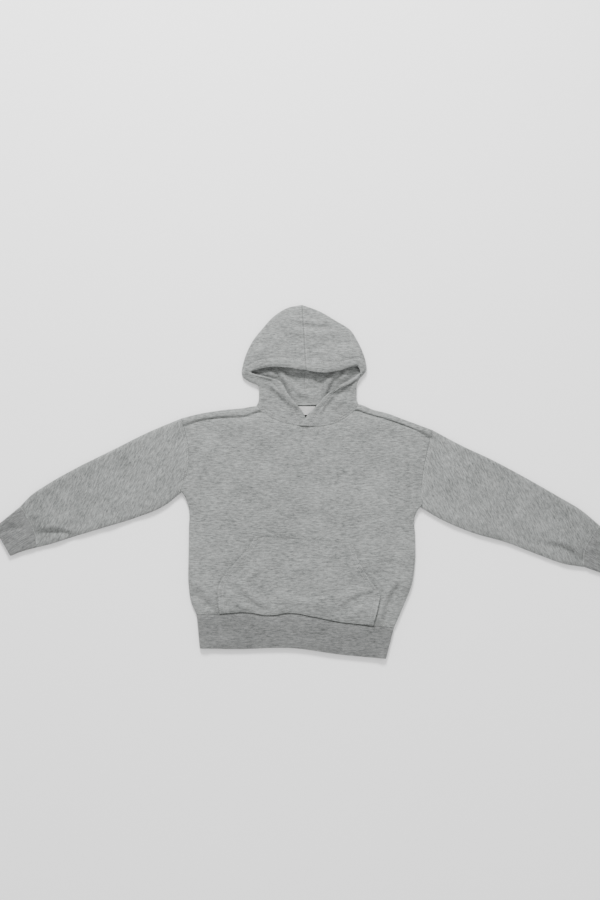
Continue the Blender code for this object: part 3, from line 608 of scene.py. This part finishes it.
def crease_lift(points, creases):
    """Height that the creases give at plan points, as an array."""
    lift = np.zeros(points.shape[:-1])
    for crease in creases:
        start = np.array((crease.start_x, crease.start_y), float)
        along = np.array((crease.end_x, crease.end_y), float) - start
        length = np.linalg.norm(along)
        along /= length
        rest = points[..., :2] - start
        share = (rest @ along) / length
        aside = rest @ np.array((-along[1], along[0]))
        inside = np.clip(share, 0, 1)
        aside = aside - crease.bend * 4 * inside * (1 - inside)
        past = (share - inside) * length
        taper = CREASE_END + (1 - CREASE_END) * np.sin(math.pi * inside) ** 0.8
        away = (aside ** 2 + past ** 2) / crease.width ** 2
        lift += crease.height * taper * np.exp(-away)
    return CREASE_DEPTH * lift


def ripple_lift(points):
    """The cloth's slow unevenness."""
    lift = np.zeros(points.shape[:-1])
    x, y = points[..., 0], points[..., 1]
    for wave in RIPPLES:
        wander = WANDER * np.sin(y * wave.along_x * WANDER_RATE + wave.phase)
        lift += wave.height * np.sin(x * wave.along_x + y * wave.along_y + wave.phase + wander)
    return lift


def refine(grid, axis, wrap=False):
    """A finer grid along one axis, on smooth curves through the coarse points."""
    points = np.moveaxis(np.asarray(grid, float), axis, 0)
    if wrap:
        points = np.concatenate([points[-2:], points, points[:3]])
    gaps = np.linalg.norm(np.diff(points, axis=0), axis=-1)
    spans = np.maximum(gaps.mean(axis=1), 1e-3)
    slopes = np.diff(points, axis=0) / spans[:, None, None]
    tangents = np.empty_like(points)
    before, after = spans[:-1, None, None], spans[1:, None, None]
    tangents[1:-1] = (slopes[:-1] * after + slopes[1:] * before) / (before + after)
    tangents[0], tangents[-1] = slopes[0], slopes[-1]
    first = 2 if wrap else 0
    last = len(points) - (3 if wrap else 1)
    result = []
    for i in range(first, last):
        count = max(1, math.ceil(gaps[i].max() / SPACING))
        for k in range(count):
            t = k / count
            h = spans[i]
            result.append(points[i] * (2 * t**3 - 3 * t**2 + 1)
                          + tangents[i] * h * (t**3 - 2 * t**2 + t)
                          + points[i + 1] * (3 * t**2 - 2 * t**3)
                          + tangents[i + 1] * h * (t**3 - t**2))
    if not wrap:
        result.append(points[last])
    return np.moveaxis(np.array(result), 0, axis)


def refine_count(grid, axis):
    """How many fine cells each coarse cell of an open grid becomes along an axis."""
    points = np.moveaxis(np.asarray(grid, float), axis, 0)
    gaps = np.linalg.norm(np.diff(points, axis=0), axis=-1).max(axis=1)
    return [max(1, math.ceil(gap / SPACING)) for gap in gaps]


def normals_of(grid, wrap, outwards):
    """Unit normals of a grid's points."""
    across = np.roll(grid, -1, 1) - np.roll(grid, 1, 1) if wrap else np.gradient(grid, axis=1)
    along = np.gradient(grid, axis=0)
    normal = np.cross(across, along)
    normal /= np.maximum(np.linalg.norm(normal, axis=-1, keepdims=True), 1e-9)
    return normal * outwards


def edge_distance(grid, side):
    """Distance along the cloth from one side of a grid: top, foot, start or end."""
    axis = 0 if side in ("foot", "top") else 1
    gaps = np.linalg.norm(np.diff(grid, axis=axis), axis=-1)
    zero = np.zeros_like(np.take(gaps, [0], axis))
    run = np.concatenate([zero, np.cumsum(gaps, axis)], axis)
    if side in ("top", "end"):
        run = np.take(run, [-1], axis) - run
    return run


def new_piece(name, verts, faces, material):
    """A mesh object that rides on the part, from points in millimetres."""
    mesh = bpy.data.meshes.new(name)
    mesh.from_pydata((np.asarray(verts) * METRES).tolist(), [], faces)
    mesh.materials.append(material)
    mesh.shade_smooth()
    mesh.set_sharp_from_angle(angle=SHARP_ANGLE)
    piece = bpy.data.objects.new(name, mesh)
    bpy.context.scene.collection.objects.link(piece)
    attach(piece, "root")
    return piece


def wall_faces(rows, columns, wrap, missing):
    """Faces of a closed wall between two grids of rows by columns points."""
    total = rows * columns
    faces, uses = [], {}
    for r in range(rows - 1):
        for c in range(columns if wrap else columns - 1):
            if missing is not None and missing[r, c]:
                continue
            d = (c + 1) % columns
            ring = (r * columns + c, r * columns + d, (r + 1) * columns + d,
                    (r + 1) * columns + c)
            faces.append(ring)
            faces.append(tuple(total + i for i in reversed(ring)))
            for a, b in zip(ring, ring[1:] + ring[:1]):
                if (b, a) in uses:
                    del uses[(b, a)]
                else:
                    uses[(a, b)] = True
    for a, b in uses:
        faces.append((b, a, total + a, total + b))
    return faces


def shell(name, node, grid, material, wall, wrap=False, outwards=1, missing=None):
    """A thin closed shell of cloth whose outer face is the grid.

    Points that come out under the floor are set to its level, so the wall is thinner there.
    """
    inner = grid - normals_of(grid, wrap, outwards) * wall
    rows, columns = grid.shape[:2]
    verts = np.concatenate([grid.reshape(-1, 3), inner.reshape(-1, 3)])
    verts[:, 2] = np.maximum(verts[:, 2], 0.0)
    faces = wall_faces(rows, columns, wrap, missing)
    if outwards < 0:
        faces = [tuple(reversed(face)) for face in faces]
    used = sorted({i for face in faces for i in face})
    index = {old: new for new, old in enumerate(used)}
    piece = new_piece(name, verts[used], [[index[i] for i in f] for f in faces], material)
    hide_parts(node)
    return piece


PUFF = 2.2               # how far the upper layers stand up inside the folded edges
PUFF_START = 2.0         # distance from an edge where that begins
PUFF_REACH = 13.0        # and over which it comes to its full height
SEAM_DIP = 1.2           # depth of a seam's valley
SEAM_WIDTH = 2.6
TROUGH_FLOOR = 4.7       # no upper layer sinks through the one below
TROUGH_GIVE = 0.15       # share of a trough's depth left under that
CALM_REACH = 6.0         # creases die away this near to a panel's sides
UNDER_SHARE = 0.3        # how much of a ridge the lower layer shows
LOW_LAYER, LAYER_STEP = 2.5, 3.0   # the upper layer counts fully above their sum
SIDES = ("foot", "top", "start", "end")


def bump(distance, width):
    """A bell over a distance: 1 at none, and down to 1/e at the width."""
    return np.exp(-((distance / width) ** 2))


def fold_distance(points):
    """Distance in plan from each point to the garment's folded edges."""
    best = np.full(points.shape[:-1], np.inf)
    for a, b in EDGES:
        start = np.array(a[:2], float)
        along = np.array(b[:2], float) - start
        rest = points[..., :2] - start
        share = np.clip((rest @ along) / (along @ along), 0, 1)
        best = np.minimum(best, np.linalg.norm(rest - share[..., None] * along, axis=-1))
    return best


def raised(grid, creases, ripple=1.0, dips=()):
    """Creases and ripples on the upper layer, softer ones on the lower, dips at seams."""
    upper = np.clip((grid[..., 2] - LOW_LAYER) / LAYER_STEP, 0, 1)
    creased = crease_lift(grid, creases)
    inside = 1 - bump(np.maximum(fold_distance(grid) - PUFF_START, 0), PUFF_REACH)
    ends = np.minimum.reduce([edge_distance(grid, side) for side in SIDES])
    calm = 1 - bump(ends, CALM_REACH)
    lift = (creased + ripple * ripple_lift(grid)) * (0.3 + 0.7 * calm)
    lift += PUFF * inside * (0.4 + 0.6 * calm)
    height = grid[..., 2] + upper * lift
    sunk = TROUGH_FLOOR + TROUGH_GIVE * (height - TROUGH_FLOOR)
    height = np.where((upper > 0.9) & (height < TROUGH_FLOOR), sunk, height)
    height = height + (1 - upper) * UNDER_SHARE * np.maximum(0, creased) * calm * inside
    for side in dips:
        height -= upper * SEAM_DIP * bump(edge_distance(grid, side), SEAM_WIDTH)
    result = grid.copy()
    result[..., 2] = height
    return result


def facing_sign(grid, wrap):
    """1 if the grid's own normals point out of the cloth, and -1 if they point into it."""
    normal = normals_of(grid, wrap, 1)
    return 1 if (normal[..., 2] * (grid[..., 2] - FOLD_RADIUS)).sum() > 0 else -1


# Materials
DARK, LIGHT = (0.060, 0.064, 0.062), (0.290, 0.300, 0.293)
# The ribbed band and cuffs are coloured darker than the fleece; on the cuffs that darkness is
# painted shade at the sleeves' ends.
RIB_DARK_AND_SHADE, RIB_LIGHT_AND_SHADE = (0.045, 0.047, 0.046), (0.195, 0.200, 0.197)
THREAD_DARK, THREAD_LIGHT = (0.20, 0.205, 0.20), (0.40, 0.41, 0.405)
LABEL_DARK, LABEL_LIGHT = (0.34, 0.34, 0.335), (0.46, 0.46, 0.455)
NAP = 0.25               # sheen of the brushed cloth
LABEL_NAP = 0.05
SLEEVE_GRAIN = math.radians(63)    # the knit's courses turn with the sleeves and cuffs
CUFF_GRAIN = math.radians(32)
SLEEVE_PAINTED_SHADE = (0.20, 0.46, 0.86)   # painted shade: the sleeves darken from this |x| to that one in metres, to this share, for the light's falloff towards their ends
RIBS = 115.0             # the ribs' rate, for the wave texture

# Noise of one kind: its rate for each metre along X, Y and Z, its share of the colour
Grain = namedtuple("Grain", "rate detail rough share")
STREAKS = Grain((125, 520, 220), 5, 0.62, 0.52)
FLECKS = Grain((420, 1500, 700), 4, 0.7, 0.36)
CLOUDS = Grain((14, 26, 14), 3, 0.5, 0.12)
RAMP_START, RAMP_END = 0.36, 0.64


def noise(nodes, links, vector, grain):
    """Noise with its own rate along each axis."""
    texture = nodes.new("ShaderNodeTexNoise")
    mapping = nodes.new("ShaderNodeMapping")
    mapping.inputs["Scale"].default_value = grain.rate
    texture.inputs["Scale"].default_value = 1.0
    texture.inputs["Detail"].default_value = grain.detail
    texture.inputs["Roughness"].default_value = grain.rough
    links.new(vector, mapping.inputs["Vector"])
    links.new(mapping.outputs["Vector"], texture.inputs["Vector"])
    return texture.outputs["Fac"]


def multiply_add(nodes, links, value, factor, plus=None):
    """value times factor, plus another socket if there is one."""
    node = nodes.new("ShaderNodeMath")
    node.operation = "MULTIPLY_ADD"
    links.new(value, node.inputs[0])
    node.inputs[1].default_value = factor
    node.inputs[2].default_value = 0.0
    if plus:
        links.new(plus, node.inputs[2])
    return node.outputs[0]


def colour_ramp(nodes, links, value, stops):
    """Colours on a ramp, from (position, colour) stops."""
    ramp = nodes.new("ShaderNodeValToRGB")
    for element, (position, colour) in zip(ramp.color_ramp.elements, stops):
        element.position = position
        element.color = (*colour, 1)
    links.new(value, ramp.inputs["Fac"])
    return ramp.outputs["Color"]


def with_painted_shade(nodes, links, place, colour, painted_shade):
    """The colour with painted shade, darker towards the ends of the sleeves where the light falls
    off.
    """
    split = nodes.new("ShaderNodeSeparateXYZ")
    links.new(place, split.inputs["Vector"])
    away = nodes.new("ShaderNodeMath")
    away.operation = "ABSOLUTE"
    links.new(split.outputs["X"], away.inputs[0])
    ranged = nodes.new("ShaderNodeMapRange")
    links.new(away.outputs[0], ranged.inputs["Value"])
    for name, value in zip(("From Min", "From Max", "To Min", "To Max"),
                           (painted_shade[0], painted_shade[1], 1.0, painted_shade[2])):
        ranged.inputs[name].default_value = value
    scaled = nodes.new("ShaderNodeVectorMath")
    scaled.operation = "SCALE"
    links.new(colour, scaled.inputs[0])
    links.new(ranged.outputs["Result"], scaled.inputs["Scale"])
    return scaled.outputs["Vector"]


def add_bump(nodes, links, height, strength, distance):
    """A bump node on a height socket."""
    node = nodes.new("ShaderNodeBump")
    node.inputs["Strength"].default_value = strength
    node.inputs["Distance"].default_value = distance
    links.new(height, node.inputs["Height"])
    return node


def ribbing(nodes, links, vector, rate, axis):
    """Fine ribs, which repeat along X or Y."""
    wave = nodes.new("ShaderNodeTexWave")
    wave.bands_direction = axis
    wave.inputs["Scale"].default_value = rate
    wave.inputs["Distortion"].default_value = 0.6
    wave.inputs["Detail Scale"].default_value = 2.0
    links.new(vector, wave.inputs["Vector"])
    return add_bump(nodes, links, wave.outputs["Fac"], 0.5, 0.0006)


def melange(name, dark, light, turn=0.0, rib_axis=None, painted_shade=None, nap=NAP):
    """Brushed melange knit: dark and light fibres in fine streaks, with a soft nap."""
    material = bpy.data.materials.new(name)
    material.use_nodes = True
    nodes, links = material.node_tree.nodes, material.node_tree.links
    shader = nodes["Principled BSDF"]
    shader.inputs["Roughness"].default_value = 0.92
    shader.inputs["Specular IOR Level"].default_value = 0.18
    shader.inputs["Sheen Weight"].default_value = nap
    shader.inputs["Sheen Roughness"].default_value = 0.55
    place = nodes.new("ShaderNodeTexCoord").outputs["Object"]
    turned = nodes.new("ShaderNodeMapping")
    turned.inputs["Rotation"].default_value = (0, 0, turn)
    links.new(place, turned.inputs["Vector"])
    vector = turned.outputs["Vector"]
    streaks, flecks, clouds = (noise(nodes, links, vector, grain)
                               for grain in (STREAKS, FLECKS, CLOUDS))
    mix = multiply_add(nodes, links, streaks, STREAKS.share)
    mix = multiply_add(nodes, links, flecks, FLECKS.share, mix)
    mix = multiply_add(nodes, links, clouds, CLOUDS.share, mix)
    colour = colour_ramp(nodes, links, mix, ((RAMP_START, dark), (RAMP_END, light)))
    # Painted shade: the sleeves' colour darkens towards their ends, for the light's falloff.
    if painted_shade:
        colour = with_painted_shade(nodes, links, place, colour, painted_shade)
    links.new(colour, shader.inputs["Base Color"])
    height = multiply_add(nodes, links, flecks, 0.6, streaks)
    relief = add_bump(nodes, links, height, 0.55, 0.0007)
    links.new(relief.outputs["Normal"], shader.inputs["Normal"])
    if rib_axis:
        rib = ribbing(nodes, links, vector, RIBS, rib_axis)
        links.new(rib.outputs["Normal"], relief.inputs["Normal"])
    return material


BODY_CLOTH = melange("melange_fleece", DARK, LIGHT)
# The sleeves' cloth carries painted shade towards their ends.
SLEEVE_RIGHT_CLOTH = melange("melange_fleece_right_sleeve", DARK, LIGHT, turn=-SLEEVE_GRAIN,
                             painted_shade=SLEEVE_PAINTED_SHADE)
SLEEVE_LEFT_CLOTH = melange("melange_fleece_left_sleeve", DARK, LIGHT, turn=SLEEVE_GRAIN,
                            painted_shade=SLEEVE_PAINTED_SHADE)
BAND_CLOTH = melange("melange_band", RIB_DARK_AND_SHADE, RIB_LIGHT_AND_SHADE, rib_axis="X")
# The cuffs' darker colour is painted shade, as at the sleeves' ends.
CUFF_RIGHT_CLOTH = melange("melange_cuff_right", RIB_DARK_AND_SHADE, RIB_LIGHT_AND_SHADE, rib_axis="Y",
                           turn=-CUFF_GRAIN)
CUFF_LEFT_CLOTH = melange("melange_cuff_left", RIB_DARK_AND_SHADE, RIB_LIGHT_AND_SHADE, rib_axis="Y",
                          turn=CUFF_GRAIN)
THREAD = melange("thread", THREAD_DARK, THREAD_LIGHT)
LABEL_WHITE = melange("label_tape", LABEL_DARK, LABEL_LIGHT, nap=LABEL_NAP)

# Stitching
DASH, DASH_GAP = 2.3, 0.9          # length of a stitch and the space to the next
THREAD_RADIUS = 0.34
THREAD_LIFT, THREAD_SINK = 0.15, 0.2   # a stitch's middle stands up, and its ends less
THREAD_SIDES = 5
SEAM_ROW, TWIN_ROW = 2.0, 6.5      # distances of the two rows from a seam

stitches = []            # three points on the cloth for each stitch


def stitch_path(grid, side, distance, start=0.0):
    """Points on a grid at one distance from a side, from a share of its length on."""
    run, lines = edge_distance(grid, side), grid
    if side in ("foot", "top"):
        run, lines = run.T, np.swapaxes(grid, 0, 1)
    path = []
    for distances, line in zip(run, lines):
        if distances.max() >= distance:
            order = np.argsort(distances)
            path.append([np.interp(distance, distances[order], line[order, k])
                         for k in range(3)])
    return np.array(path[int(start * len(path)):])


def sew(path):
    """Thread dashes along a path on the cloth, where it is on the upper layer."""
    steps = np.linalg.norm(np.diff(path, axis=0), axis=1)
    run = np.concatenate([[0], np.cumsum(steps)])
    at = 0.0
    while at + DASH < run[-1]:
        points = [np.array([np.interp(s, run, path[:, k]) for k in range(3)])
                  for s in (at, at + DASH * 0.5, at + DASH)]
        if min(point[2] for point in points) > FOLD_RADIUS:
            stitches.append(points)
        at += DASH + DASH_GAP


def make_stitches():
    """All the thread dashes as one joined mesh."""
    verts, faces = [], []
    for points in stitches:
        along = points[2] - points[0]
        along /= max(np.linalg.norm(along), 1e-9)
        aside = np.cross(along, (0, 0, 1.0))
        aside /= max(np.linalg.norm(aside), 1e-9)
        up = np.cross(aside, along)
        base = len(verts)
        for index, point in enumerate(points):
            wide = THREAD_RADIUS * (1.0 if index == 1 else 0.55)
            lift = THREAD_LIFT if index == 1 else THREAD_LIFT - THREAD_SINK
            for turn in range(THREAD_SIDES):
                angle = turn * 2 * math.pi / THREAD_SIDES
                verts.append(point + up * lift + aside * wide * math.cos(angle)
                             + up * wide * math.sin(angle))
        for ring in range(2):
            for turn in range(THREAD_SIDES):
                a = base + ring * THREAD_SIDES + turn
                b = base + ring * THREAD_SIDES + (turn + 1) % THREAD_SIDES
                faces.append((a, b, b + THREAD_SIDES, a + THREAD_SIDES))
        faces.append(tuple(base + i for i in reversed(range(THREAD_SIDES))))
        faces.append(tuple(base + 2 * THREAD_SIDES + i for i in range(THREAD_SIDES)))
    piece = new_piece("stitching", verts, faces, THREAD)
    return piece


def fine(grid, wrap=False):
    """A coarse grid made fine both ways."""
    return refine(refine(grid, 0), 1, wrap)


def back_grid():
    """The back panel's points, and which cells are missing between the shoulders."""
    coarse = panel_rows(False)
    first_flap_row = len(coarse)
    coarse += [turned_shoulder(turn) for turn in range(0, 181, ROLL)] + [flap_end()]
    rows = refine(coarse, 0)
    grid = refine(rows, 1)
    row = sum(refine_count(coarse, 0)[:first_flap_row])
    columns = refine_count(rows, 1)
    missing = np.zeros(grid.shape[:2], bool)
    missing[row:, sum(columns[:FIRST_NECK_COLUMN]):sum(columns[:LAST_NECK_COLUMN])] = True
    return grid, missing


def tube_grid(sections):
    """A sleeve or cuff, as rings from the body outwards."""
    return fine([section_ring(section) for section in sections], wrap=True)


BAND_STOPS = (0.0, 0.33, 0.67, 1.0)    # the band's rings, from the seam to the foot


def band_grid():
    """The hem band, as rings from the seam down to the foot."""
    foot_ends = [(HEM_FOOT[0].x, HEM_FOOT[0].y), (HEM_FOOT[-1].x, HEM_FOOT[-1].y)]
    hem = BODY_SIDES[0]
    seam_ends = [(hem.right_x, hem.right_y), (hem.left_x, hem.left_y)]
    grid = []
    for share in BAND_STOPS:
        row = flat_row(*(between(a, b, share) for a, b in zip(seam_ends, foot_ends)))
        halves = [rolled(row, upper) for upper in (True, False)]
        points = []
        for x, _, z in halves[0] + halves[1][-2:0:-1]:
            seam = height_on(HEM_SEAM, min(max(x, HEM_SEAM[0].x), HEM_SEAM[-1].x))
            foot = height_on(HEM_FOOT, min(max(x, HEM_FOOT[0].x), HEM_FOOT[-1].x))
            points.append((x, seam + (foot - seam) * share - GAP * (1 - share), z))
        grid.append(points)
    return fine(grid, wrap=True)


def pocket_grid():
    """The pocket's plan, on the flat front."""
    grid = []
    for index, row in enumerate(POCKET):
        points = []
        for column in range(POCKET_COLUMNS + 1):
            place = between((row.right_x, row.right_y), (row.left_x, row.left_y),
                            column / POCKET_COLUMNS)
            if index == 0:
                place = (place[0], height_on(HEM_SEAM, place[0]) + GAP)
            points.append(place + (top_height(place) + GAP + POCKET_WALL,))
        grid.append(points)
    return fine(grid)


def hood_grid(sections, collar):
    """A hood panel, as sections from the collar seam to the middle of the brim."""
    side = -1 if sections[0].edge_x < 0 else 1
    grid = [hood_section(sections, index, collar) for index in range(len(sections))]
    grid[0] = [(x, y + GAP, z) for x, y, z in grid[0]]
    grid[-1] = [(x + side * GAP / 2, y, z) for x, y, z in grid[-1]]
    return fine(grid)


def show(node, name, grid, material, wall, wrap=False, **more):
    """A shell for a node, turned the right way out."""
    shell(name, node, grid, material, wall, wrap=wrap,
                        outwards=facing_sign(grid, wrap), **more)


def make_body():
    """Front, back and hem band. Returns the front's grid, which the pocket lies on."""
    front = raised(fine(panel_rows(True) + [layer(seam_row(), True)]), BODY_CREASES,
                   dips=("foot", "top"))
    show("body_front", "body_front_cloth", front, BODY_CLOTH, WALL)
    back, missing = back_grid()
    show("body_back", "body_back_cloth", raised(back, BODY_CREASES, dips=("top",)),
         BODY_CLOTH, WALL, missing=missing)
    for side in ("foot", "top"):
        for distance in (SEAM_ROW, TWIN_ROW):
            sew(stitch_path(front, side, distance))
    show("hem_band", "hem_band_cloth",
         raised(band_grid(), BAND_CREASES, ripple=0.6, dips=("foot",)), BAND_CLOTH, WALL,
         wrap=True)
    return front


def make_sleeves():
    """Sleeves and cuffs, with two rows at the armhole and one above the cuff."""
    for side, sleeve, cuff, cloth, cuff_cloth in (
            ("right", RIGHT_SLEEVE, RIGHT_CUFF, SLEEVE_RIGHT_CLOTH, CUFF_RIGHT_CLOTH),
            ("left", LEFT_SLEEVE, LEFT_CUFF, SLEEVE_LEFT_CLOTH, CUFF_LEFT_CLOTH)):
        grid = raised(tube_grid(sleeve), SLEEVE_CREASES, dips=("foot", "top"))
        show("sleeve_" + side, f"sleeve_{side}_cloth", grid, cloth, WALL, wrap=True)
        for end, distance in (("foot", SEAM_ROW), ("foot", TWIN_ROW), ("top", SEAM_ROW)):
            sew(stitch_path(grid, end, distance))
        ring = raised(tube_grid(cuff), BAND_CREASES, ripple=0.5, dips=("foot",))
        show("cuff_" + side, f"cuff_{side}_cloth", ring, cuff_cloth, RIB_WALL, wrap=True)


RAY_START = 80.0         # well above the garment


def heights_on(grid, points):
    """Heights straight down onto a grid's surface, at an array of plan points."""
    rows, columns = grid.shape[:2]
    quads = []
    for r in range(rows - 1):
        for c in range(columns - 1):
            a = r * columns + c
            quads.append((a, a + 1, a + columns + 1, a + columns))
    tree = BVHTree.FromPolygons(grid.reshape(-1, 3).tolist(), quads)
    heights = points[..., 2].copy()
    for place in np.ndindex(heights.shape):
        x, y = points[place][:2]
        hit = tree.ray_cast(Vector((x, y, RAY_START)), Vector((0, 0, -1)))[0]
        if hit is not None:
            heights[place] = hit.z
    return heights


POCKET_LIFT = 0.4
OPENING_LIFT = 1.4       # how far the pocket's slanted hand openings stand up
OPENING_REACH = 9.0
POCKET_FOOT = 8.0        # the pocket comes down flat over this, to its foot
POCKET_ROWS = (2.0, 8.0)           # stitching beside the openings


def make_pocket(front):
    """The pocket, laid on the front's own surface."""
    grid = pocket_grid()
    openings = np.minimum(edge_distance(grid, "start"), edge_distance(grid, "end"))
    lift = crease_lift(grid, POCKET_CREASES) + OPENING_LIFT * bump(openings, OPENING_REACH)
    lift = (lift + POCKET_LIFT) * (1 - bump(edge_distance(grid, "foot"), POCKET_FOOT))
    grid[..., 2] = heights_on(front, grid) + GAP + POCKET_WALL + np.maximum(0, lift)
    shell("pocket_cloth", "pocket", grid, BODY_CLOTH, POCKET_WALL)
    for side in ("start", "end"):
        for distance in POCKET_ROWS:
            sew(stitch_path(grid, side, distance))
    sew(stitch_path(grid, "top", SEAM_ROW))


HOOD_LAYER = 3.8         # the hood's upper layer counts from here
HOOD_RIPPLE = 0.8
SEEN_FROM = 0.45         # share along a hood seam where the side that shows begins
HOOD_ROWS = (            # side, distance from it and where along it the stitching starts
    ("end", 16.0, 0.0), ("foot", SEAM_ROW, SEEN_FROM), ("foot", 6.0, SEEN_FROM),
    ("top", 2.6, SEEN_FROM),
)


def hood_relief(grid):
    """Creases, the turned hem of the face opening, and the seams' valleys."""
    rim, middle = edge_distance(grid, "end"), edge_distance(grid, "top")
    lift = crease_lift(grid, HOOD_TOP_CREASES + COLLAR_CREASES)
    lift += HOOD_RIPPLE * ripple_lift(grid)
    hem = 0.7 * bump(rim - 8, 7) - 0.9 * bump(rim - 17, 1.6) - 1.6 * bump(rim, 2.2)
    seam = 0.5 * bump(middle - 5, 3) - 1.2 * bump(middle, 2.0)
    return lift + hem + seam - bump(edge_distance(grid, "foot"), 2.4)


def make_hood():
    """Both hood panels, which join over the middle of the head."""
    for side, sections, collar in (
            ("right", RIGHT_HOOD, NECK_SEAM[:RIGHT_PANEL_END + 1]),
            ("left", LEFT_HOOD, NECK_SEAM[:LEFT_PANEL_END - 1:-1])):
        grid = hood_grid(sections, collar)
        upper = np.clip((grid[..., 2] - HOOD_LAYER) / LAYER_STEP, 0, 1)
        lift = upper * hood_relief(grid)
        inner = np.maximum(0, crease_lift(grid, INNER_CREASES))
        grid[..., 2] += lift
        grid[..., 2] += (1 - upper) * inner * (grid[..., 2] < LOW_LAYER)
        show("hood_" + side, f"hood_{side}_cloth", grid, BODY_CLOTH, WALL)
        for edge, distance, start in HOOD_ROWS:
            sew(stitch_path(grid, edge, distance, start))


LABEL_COLUMNS, LABEL_ROWS = 12, 6
LABEL_WAVE = 0.5         # the tape isn't quite flat


def make_label():
    """The blank tape at the back of the neck."""
    grid = np.zeros((LABEL_ROWS + 1, LABEL_COLUMNS + 1, 3))
    for r, c in np.ndindex(grid.shape[:2]):
        grid[r, c] = (LABEL.right_x + (LABEL.left_x - LABEL.right_x) * c / LABEL_COLUMNS,
                      LABEL.right_y + (LABEL.left_y - LABEL.right_y) * r / LABEL_ROWS,
                      WALL + GAP + LABEL_WALL + LABEL_WAVE * math.sin(c * 0.6) ** 2)
    shell("neck_label_tape", "neck_label", grid, LABEL_WHITE, LABEL_WALL)


# What shows of a panel's cut: its node, its width and length in metres, its area in square metres,
# and what it lies on. The widths and lengths are estimated from plan sizes, with tubes and hood
# panels opened out. No cuts are listed here. The areas were set from these pieces' own measured
# meshes, so they are no check on them.
Cut = namedtuple("Cut", "node width length area lies_on")


FLOOR_SIZE = 12.0
FLOOR_DROP = 0.0004      # just under the cloth
FLOOR_DARK, FLOOR_LIGHT = (0.90, 0.90, 0.90), (0.93, 0.93, 0.93)


def make_floor():
    """A plain pale floor."""
    bpy.ops.mesh.primitive_plane_add(size=FLOOR_SIZE, location=(0, 0, -FLOOR_DROP))
    floor = bpy.context.object
    floor.name = "floor"
    material = bpy.data.materials.new("pale_floor")
    material.use_nodes = True
    nodes, links = material.node_tree.nodes, material.node_tree.links
    shader = nodes["Principled BSDF"]
    shader.inputs["Roughness"].default_value = 0.9
    grain = nodes.new("ShaderNodeTexNoise")
    grain.inputs["Scale"].default_value = 40
    colour = colour_ramp(nodes, links, grain.outputs["Fac"],
                         ((0.0, FLOOR_DARK), (1.0, FLOOR_LIGHT)))
    links.new(colour, shader.inputs["Base Color"])
    floor.data.materials.append(material)


VIEW_HEIGHT = 3.0        # camera over the floor
VIEW_TALL = 1.4337       # how much of the floor the picture's height takes in
VIEW_MIDDLE = (-0.015, 0.0491)
SENSOR = 36.0


def make_camera():
    """A camera that looks straight down."""
    camera = bpy.data.objects.new("camera", bpy.data.cameras.new("camera"))
    bpy.context.scene.collection.objects.link(camera)
    camera.data.sensor_fit = "VERTICAL"
    camera.data.sensor_height = SENSOR
    camera.data.lens = SENSOR * VIEW_HEIGHT / VIEW_TALL
    camera.location = (*VIEW_MIDDLE, VIEW_HEIGHT)
    camera.rotation_euler = (0, 0, 0)
    bpy.context.scene.camera = camera


Lamp = namedtuple("Lamp", "name place size power")
LAMPS = (Lamp("key", (-0.3, 1.9, 1.5), 0.7, 105), Lamp("fill", (0.6, -1.6, 2.2), 1.6, 8))
AMBIENT = 1.15


def make_lights():
    """White surroundings, a key light from beyond the hood, and a weak fill."""
    world = bpy.data.worlds.new("studio")
    world.use_nodes = True
    background = world.node_tree.nodes["Background"]
    background.inputs["Color"].default_value = (1, 1, 1, 1)
    background.inputs["Strength"].default_value = AMBIENT
    bpy.context.scene.world = world
    for lamp in LAMPS:
        light = bpy.data.lights.new(lamp.name, "AREA")
        light.shape = "DISK"
        light.size = lamp.size
        light.energy = lamp.power
        placed = bpy.data.objects.new(lamp.name, light)
        placed.location = lamp.place
        placed.rotation_euler = (-Vector(lamp.place)).to_track_quat("-Z", "Y").to_euler()
        bpy.context.scene.collection.objects.link(placed)


make_camera()
make_floor()
make_lights()
front_surface = make_body()
make_sleeves()
make_pocket(front_surface)
make_hood()
make_label()
make_stitches()
